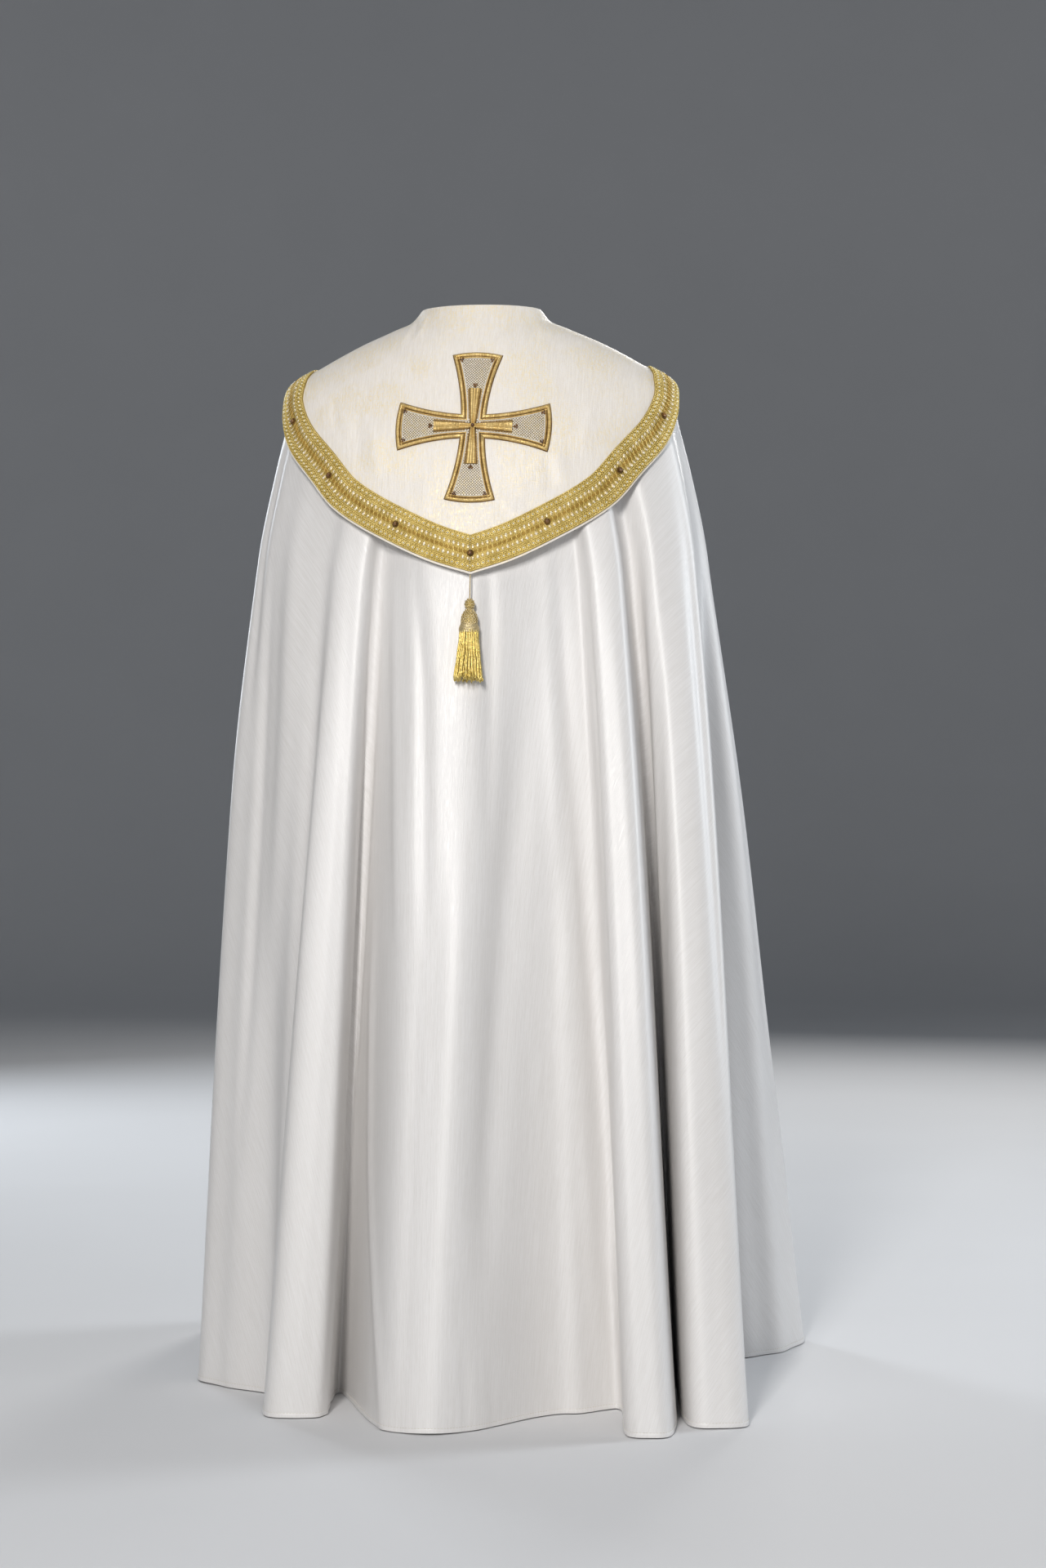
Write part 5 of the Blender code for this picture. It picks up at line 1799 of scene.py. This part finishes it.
@dataclass
class Tassel:
    """The tassel at the hood's tip: cord, ball, crocheted head, wound band and twisted strands."""

    shape: HoodShape
    finishes: Finishes
    shop: Workshop
    seam_gap: float = 0.0003
    cloth: float = 0.0020
    cord_length: float = 0.0330
    ball_radius: float = 0.0072
    head_length: float = 0.0310
    bell_share: float = 0.68
    skirt_length: float = 0.0700
    lean: float = 11.0
    flatness: float = 0.62
    profile_shares: tuple[float, ...] = (0.0, 0.10, 0.24, 0.42, 0.66, 1.0)
    profile_radii: tuple[float, ...] = (0.0050, 0.0056, 0.0078, 0.0095, 0.0104, 0.0106)
    rounds: tuple[tuple[int, float, float], ...] = ((22, 1.0, 0.0), (12, 0.62, 0.003), (6, 0.28, 0.004))
    start: Array = field(init=False)
    out: Array = field(init=False)
    down: Array = field(init=False)
    right: Array = field(init=False)

    def __post_init__(self) -> None:
        """Find the hood's tip and the tassel's axes."""
        level = self.shape.edge_level(np.zeros(1))
        tip = self.shape.point(np.zeros(1), level)[0]
        normal = self.shape.form.normal(np.array([self.shape.middle]), level)[0]
        lean = math.radians(self.lean)
        self.down = np.array([0.0, math.sin(lean), -math.cos(lean)])
        self.out = np.array([0.0, math.cos(lean), math.sin(lean)])
        self.right = np.array([1.0, 0.0, 0.0])
        self.start = tip - normal * self.cloth / 2 + self.down * self.seam_gap

    @property
    def ball_top(self) -> float:
        """Distance from the tip to the ball."""
        return self.cord_length + self.seam_gap

    @property
    def head_top(self) -> float:
        """Distance from the tip to the head."""
        return self.ball_top + self.ball_radius * (1 - math.cos(math.pi * 7 / 8)) + self.seam_gap

    def around(self, distance: Array | float, turn: Array, radius: Array | float) -> tuple[Array, Array]:
        """Return points round the tassel and the way out of it."""
        distance, turn, radius = np.broadcast_arrays(distance, turn, radius)
        across = self.right * np.cos(turn)[..., None]
        side = across + self.out * (np.sin(turn) * self.flatness)[..., None]
        way = unit(across + self.out * (np.sin(turn) / self.flatness)[..., None])
        return self.start + self.down * distance[..., None] + side * radius[..., None], way

    def build(self) -> list[Piece]:
        """Build the tassel and return its pieces."""
        cord = self.cord()
        made = [*self.ball(), *self.head(), self.band(), *self.skirt()]
        path = [self.start + self.down * self.cord_length * step / 15 for step in range(16)]
        return [cord, *made]

    def cord(self) -> Piece:
        """Make the thin twisted cord."""
        line = self.start + self.down * np.linspace(0.0, self.cord_length, 16)[:, None]
        lines = plies(line, np.repeat(self.out[None], 16, axis=0), 0.00042, 0.0042, steps=8)
        return self.shop.run("tassel_cord_twist", lines, 0.00050, self.finishes.champagne, "strand",
                             "tassel_cord", sides=6)

    def turned(self, name: str, rows: Sequence[tuple[float, float]], slot: str, *nodes: str) -> Piece:
        """Make a turned core from (distance down, radius) rows."""
        turns = np.linspace(0.0, 2 * math.pi, 29)[:-1]
        table = np.array(rows)
        points, _ = self.around(table[None, :, 0], turns[:, None], table[None, :, 1])
        mesh = closed_mesh(grid_mesh(name, points, loop_across=True))
        return fit(add_piece(name, mesh, self.finishes.braid_ground), slot, *nodes)

    def net(self, name: str, rows: Sequence[tuple[float, float, int]], size: float, slot: str) -> Piece:
        """Crochet rings in rows round the tassel, from (distance, radius, count) rows."""
        parts = []
        for number, (distance, radius, count) in enumerate(rows):
            turns = (np.arange(count) + 0.5 * (number % 2)) * 2 * math.pi / count
            points, way = self.around(distance, turns, radius)
            parts.append(Spots(points, way, np.cross(way, self.down)))
        return self.shop.place(name, Spots.joined(parts), Motif.RING, size, self.finishes.champagne, slot)

    def ball(self) -> list[Piece]:
        """Make the crocheted ball: a core under rows of knots."""
        def rows(steps: int, radius: float) -> list[tuple[float, float]]:
            """Return the ball's rows from the top down, as (distance, radius)."""
            turns = [math.pi * step / steps for step in range(1, steps)]
            return [(self.ball_top + self.ball_radius * (1 - math.cos(turn)), radius * math.sin(turn))
                    for turn in turns]

        knots = [(distance, reach, max(int(reach * 2 * math.pi / 0.0031), 5))
                 for distance, reach in rows(6, self.ball_radius - 0.0006)]
        return [
            self.turned("tassel_ball_core", rows(12, self.ball_radius - 0.0010), "strand", "tassel_ball"),
            self.net("tassel_ball_knots", knots, 0.00115, "strand"),
        ]

    def head(self) -> list[Piece]:
        """Make the ribbed neck and the bell-shaped head under its crocheted net."""
        top = self.head_top
        length = self.head_length * self.bell_share

        def radius(share: Array) -> Array:
            """Return the bell's radius at a share of its length."""
            return smooth_through(self.profile_shares, self.profile_radii, share)

        at = np.linspace(0.0, 1.0, 16)
        core = np.column_stack([top + length * at, radius(at)])
        rows = []
        for share in np.linspace(0.22, 0.97, 6):
            reach = float(radius(share)) + 0.0002
            rows.append((top + length * share, reach, int(round(reach * 2 * math.pi * 0.83 / 0.0036))))
        down = np.linspace(-0.02, 0.20, 6)
        ribs = [self.around(top + length * down, turn, radius(down) + 0.0003)[0]
                for turn in 2 * math.pi * np.arange(14) / 14]
        return [
            self.turned("tassel_head_core", core, "purl", "tassel_head"),
            self.net("tassel_head_net", rows, 0.00150, "purl"),
            self.shop.run("tassel_neck_ribs", ribs, 0.0008, self.finishes.champagne, "purl"),
        ]

    def band(self) -> Piece:
        """Make the band of cords wound round under the head."""
        top = self.head_top + self.head_length * self.bell_share
        height = self.head_length * (1 - self.bell_share)
        turns = np.linspace(0.0, 2 * math.pi, 41)[:-1]
        lines = []
        for share in np.arange(7) / 6:
            radius = 0.0112 + 0.0012 * math.sin(math.pi * share) + 0.0006 * share
            lines.append(self.around(top + height * share, turns, radius)[0])
        return self.shop.run("tassel_band_cords", lines, 0.00095, self.finishes.champagne, "purl",
                             "tassel_band", sides=6, closed=True)

    def skirt(self) -> list[Piece]:
        """Make the twisted strands that hang from the band and curl at their ends."""
        top = self.head_top + self.head_length
        draw = np.random.default_rng(7)
        share = np.linspace(0.0, 1.0, 18)
        curl = np.linspace(0.0, math.pi * 1.1, 7)[1:, None]
        lines = []
        for count, reach, shorter in self.rounds:
            for index in range(count):
                turn = 2 * math.pi * (index + draw.uniform(-0.22, 0.22)) / count
                length = self.skirt_length - 0.0040 - shorter - draw.uniform(0.0, 0.0035)
                spread = 0.0108 + 0.0066 * share ** 1.25 + draw.uniform(-0.0006, 0.0006)
                sway = 0.04 * np.sin(share * math.pi * draw.uniform(0.6, 1.4)) * draw.choice([-1.0, 1.0])
                line, way = self.around(top - 0.003 + length * share, turn + sway, spread * reach)
                bend = way[-1] * draw.choice([-1.0, 1.0]) * 0.6
                bend = unit(bend + np.cross(way[-1], self.down) * draw.uniform(-1, 1))
                hook = line[-1] + self.down * np.sin(curl) * 0.0018 + bend * (1 - np.cos(curl)) * 0.0011
                line = np.concatenate([line, hook])
                lines.extend(plies(line, np.repeat(way[:1], len(line), axis=0), 0.00088, 0.0850, 3, 34))
        core = [(top + 0.0005, 0.0085), (top + 0.030, 0.0095), (top + 0.058, 0.0110)]
        strands = self.shop.run("tassel_strands", lines, 0.00096, self.finishes.strand, "strand",
                                "tassel_skirt", sides=6)
        return [strands, self.turned("tassel_skirt_core", core, "strand")]


@dataclass
class Clasp:
    """The plain cloth tab across the front edges, with two hooks."""

    form: BodyForm
    finishes: Finishes
    shop: Workshop
    level: float = 0.200
    height: float = 0.058
    half_angle: float = 19.0
    stand: float = 0.0026
    cloth: float = 0.0020
    columns: int = 60
    rows: int = 24
    hook_boxes: tuple[tuple[float, ...], ...] = (
        (0.0105, 0.0066, 0.0004, 0.0), (0.0060, 0.0030, 0.0016, 0.0010),
    )

    def build(self) -> list[Piece]:
        """Build the clasp and return its pieces."""
        angles = np.linspace(180.0 + self.half_angle, 180.0 - self.half_angle, self.columns)
        levels = np.linspace(self.level, self.level + self.height, self.rows)
        points = self.form.point(angles[:, None], levels[None, :])
        bed = Bed(np.arange(self.columns), np.arange(self.rows), points)
        across, down = (np.linspace(0, 1, count) for count in (self.columns, self.rows))
        ends = ease(0.0, 0.08, across) * ease(1.0, 0.92, across)
        sides = ease(0.0, 0.12, down) * ease(1.0, 0.88, down)
        puff = 0.0008 * ends[:, None] * sides[None, :]
        bed.points = bed.points + bed.normals * (self.stand + puff)[..., None]
        mesh = grid_mesh("clasp_tab", bed.points, crossed(np.arange(self.columns) * 0.0029, levels))
        piece = wall(add_piece("clasp_tab_cloth", mesh, self.finishes.satin), self.cloth)
        fit(piece, "satin", "clasp_tab")
        corners = ((2, 2), (2, 21), (57, 21), (57, 2), (2, 2))
        border = np.concatenate([np.linspace(*part) for part in zip(corners, corners[1:], (30, 80, 30, 80))])
        spots = spots_along(*bed.at(*border.T, 0.0001), 0.0042)
        stitches = self.shop.place("clasp_stitches", spots, Motif.STITCH, 0.00145, self.finishes.hem_thread,
                                   "satin")
        return [piece, stitches, *self.hooks(bed)]

    def hooks(self, bed: Bed) -> list[Piece]:
        """Make the two flat hooks at the tab's right end: a sewn plate and a bent tongue."""
        made = []
        for label, share in (("upper", 0.25), ("lower", 0.75)):
            (middle, ahead), (out, _) = bed.at(np.array([8.3, 9.3]), share * (self.rows - 1))
            along = unit(ahead - middle)
            up = np.cross(out, along)
            builder = bmesh.new()
            for length, width, lift, shift in self.hook_boxes:
                for vertex in bmesh.ops.create_cube(builder, size=1.0)["verts"]:
                    x, y, z = vertex.co
                    place = middle + along * (x * length + shift) + up * y * width
                    vertex.co = place + out * (lift + (z + 0.5) * 0.0011)
            mesh = bpy.data.meshes.new(f"hook {label}")
            builder.to_mesh(mesh)
            builder.free()
            piece = add_piece(f"hook_{label}", closed_mesh(mesh), self.finishes.gilt)
            bevel = piece.modifiers.new("round", "BEVEL")
            bevel.width = 0.0004
            bevel.segments = 2
            made.append(fit(sharpen(settle(piece), 45.0), "gilt", f"clasp_hook_{label}"))
        return made


PUCKERS = tuple(Pucker(*row) for row in (
    (-0.104, -0.188, -0.109, -0.240, 0.0060, -0.0015),
    (-0.118, -0.180, -0.124, -0.225, 0.0070, 0.0014),
    (-0.044, -0.252, -0.049, -0.300, 0.0050, -0.0014),
    (-0.057, -0.250, -0.065, -0.292, 0.0055, 0.0014),
    (0.156, -0.120, 0.148, -0.205, 0.0080, -0.0014),
    (0.132, -0.140, 0.122, -0.215, 0.0090, 0.0014),
    (0.070, 0.020, 0.079, -0.020, 0.0050, 0.0020),
    (0.085, 0.014, 0.100, -0.022, 0.0055, 0.0016),
    (-0.078, 0.016, -0.094, -0.020, 0.0060, 0.0016),
    (0.030, -0.010, 0.034, -0.060, 0.0100, -0.0012),
    (-0.040, -0.012, -0.046, -0.058, 0.0090, 0.0012),
    (-0.158, -0.100, -0.152, -0.180, 0.0100, 0.0014),
    (0.060, -0.215, 0.056, -0.275, 0.0080, 0.0012),
    (0.190, -0.100, 0.184, -0.150, 0.0070, -0.0012),
    (0.110, -0.050, 0.140, -0.090, 0.0080, -0.0012, False),
    (-0.115, -0.052, -0.142, -0.088, 0.0080, 0.0014, False),
))

CREASES = tuple(Crease(*row) for row in (
    ("left panel roll", (4.12, 4.15, 4.02), (0.24, 0.60, 1.12), 0.022, 0.0070),
    ("left panel hollow", (4.36, 4.40, 4.32), (0.30, 0.80, 1.53), 0.016, -0.0085),
    ("left back line", (4.84, 4.94, 4.90), (0.34, 0.80, 1.53), 0.008, -0.0018),
    ("left back rim", (5.24, 5.24, 5.07), (0.50, 0.90, 1.53), 0.007, 0.0026),
    ("left back groove", (5.38, 5.37, 5.19), (0.26, 0.87, 1.53), 0.010, -0.0085),
    ("centre upper ridge", (5.52, 5.70, 5.85), (0.28, 0.58, 1.00), 0.012, 0.0034),
    ("centre upper line", (5.74, 5.95, 6.02), (0.30, 0.58, 0.98), 0.010, -0.0040),
    ("centre left rib", (5.55, 5.64, 5.85), (0.80, 1.18, 1.53), 0.013, 0.0034),
    ("centre fine line", (6.00, 5.97, 5.97), (0.85, 1.20, 1.53), 0.007, -0.0016),
    ("centre lit ridge", (6.28, 6.19, 6.12), (0.70, 1.20, 1.53), 0.028, 0.0085),
    ("centre slant", (6.70, 6.50, 6.38), (0.46, 0.98, 1.46), 0.024, -0.0090),
    ("beside the tassel", (6.40, 6.43, 6.42), (0.30, 0.52, 0.84), 0.010, -0.0032),
    ("right soft line", (7.16, 7.12, 6.94), (0.30, 0.60, 1.02), 0.012, -0.0040),
    ("right fall ridge", (6.98, 7.08, 7.30), (0.40, 0.92, 1.53), 0.014, 0.0030),
    ("right fall groove", (7.12, 7.27, 7.54), (0.34, 0.90, 1.53), 0.011, -0.0060),
    ("right fine line", (7.59, 7.60, 7.76), (0.32, 0.70, 1.20), 0.008, -0.0034),
    ("right back crest", (7.92, 7.99, 8.02), (0.30, 0.70, 1.20), 0.012, 0.0026),
    ("recess rib", (9.04, 8.92, 8.86), (0.26, 0.60, 1.05), 0.012, 0.0042),
    ("recess hollow", (8.76, 8.72, 8.70), (0.28, 0.62, 1.35), 0.012, -0.0065),
    ("right side crest", (9.22, 9.30, 9.33), (0.28, 0.60, 1.25), 0.016, 0.0036),
    ("right side line", (9.45, 9.43, 9.47), (0.24, 0.60, 1.30), 0.011, -0.0052),
    ("right flare roll", (10.36, 10.37, 10.38), (0.40, 1.00, 1.53), 0.028, 0.0090),
    ("hem ripple one", (6.31, 6.32, 6.33), (1.42, 1.48, 1.53), 0.006, -0.0016),
    ("hem ripple two", (6.44, 6.45, 6.46), (1.44, 1.49, 1.53), 0.005, -0.0013),
    ("hem ripple three", (5.98, 5.99, 6.00), (1.45, 1.50, 1.53), 0.006, 0.0012),
    ("left side roll", (3.62, 3.58, 3.66), (0.30, 0.85, 1.53), 0.026, 0.0110),
    ("left side hollow", (3.30, 3.32, 3.38), (0.24, 0.70, 1.53), 0.020, -0.0110),
    ("left side line", (3.86, 3.92, 3.84), (0.34, 0.72, 1.30), 0.010, -0.0042),
    ("left side fall", (3.44, 3.50, 3.40), (0.46, 1.05, 1.53), 0.012, -0.0050),
    ("left arm crease", (3.78, 3.70, 3.74), (0.22, 0.38, 0.66), 0.009, -0.0040),
    ("left flare fall", (2.94, 2.92, 2.98), (0.30, 0.90, 1.53), 0.018, -0.0090),
    ("left flare ridge", (2.52, 2.55, 2.48), (0.34, 0.80, 1.44), 0.016, 0.0066),
    ("left flare line", (2.70, 2.74, 2.66), (0.26, 0.70, 1.35), 0.014, -0.0060),
    ("left flare roll", (2.30, 2.28, 2.33), (0.50, 1.00, 1.53), 0.018, 0.0040),
    ("left breast line", (1.98, 2.05, 2.10), (0.28, 0.70, 1.40), 0.014, -0.0064),
    ("left front rib", (1.50, 1.55, 1.47), (0.34, 0.90, 1.53), 0.016, 0.0056),
    ("left front line", (1.15, 1.10, 1.12), (0.28, 0.75, 1.45), 0.015, -0.0066),
    ("left inner line", (0.62, 0.66, 0.60), (0.32, 0.80, 1.46), 0.013, -0.0054),
    ("right flare line", (10.95, 11.00, 10.92), (0.28, 0.80, 1.53), 0.018, -0.0100),
    ("right side fall", (9.72, 9.78, 9.70), (0.34, 0.90, 1.53), 0.017, -0.0090),
    ("right side ridge", (9.90, 9.95, 9.92), (0.28, 0.66, 1.40), 0.014, 0.0060),
    ("right flare hollow", (10.20, 10.18, 10.24), (0.28, 0.74, 1.53), 0.021, -0.0115),
    ("right flare edge", (10.52, 10.50, 10.56), (0.26, 0.62, 1.30), 0.013, -0.0064),
    ("right flare rib", (10.62, 10.58, 10.64), (0.40, 0.95, 1.53), 0.015, 0.0032),
    ("right breast line", (11.55, 11.60, 11.52), (0.28, 0.70, 1.42), 0.014, -0.0064),
    ("right front rib", (12.02, 12.00, 12.06), (0.36, 0.90, 1.53), 0.016, 0.0056),
    ("right inner line", (12.55, 12.50, 12.56), (0.32, 0.80, 1.42), 0.013, -0.0054),
))


def main() -> None:
    """Build the cope round its frame."""
    logging.basicConfig(level=logging.INFO, format="%(message)s")
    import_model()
    studio = Studio()
    studio.add_camera()
    finishes = Finishes()
    shop = Workshop()
    form = BodyForm()
    hood_shape = HoodShape(form)
    parts = (
        Tassel(hood_shape, finishes, shop),
        Mantle(MantleShape(form), finishes, shop, CREASES),
        Hood(hood_shape, finishes, PUCKERS),
        Braid(hood_shape, finishes, shop),
        EmbroideredCross(hood_shape, finishes, shop),
        Clasp(form, finishes, shop),
    )
    for part in parts:
        for piece in part.build():
            LOG.info("%s: %d faces", piece.name, len(piece.data.polygons))
    studio.add_floor()
    studio.add_lights()
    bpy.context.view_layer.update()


if __name__ == "__main__":
    main()
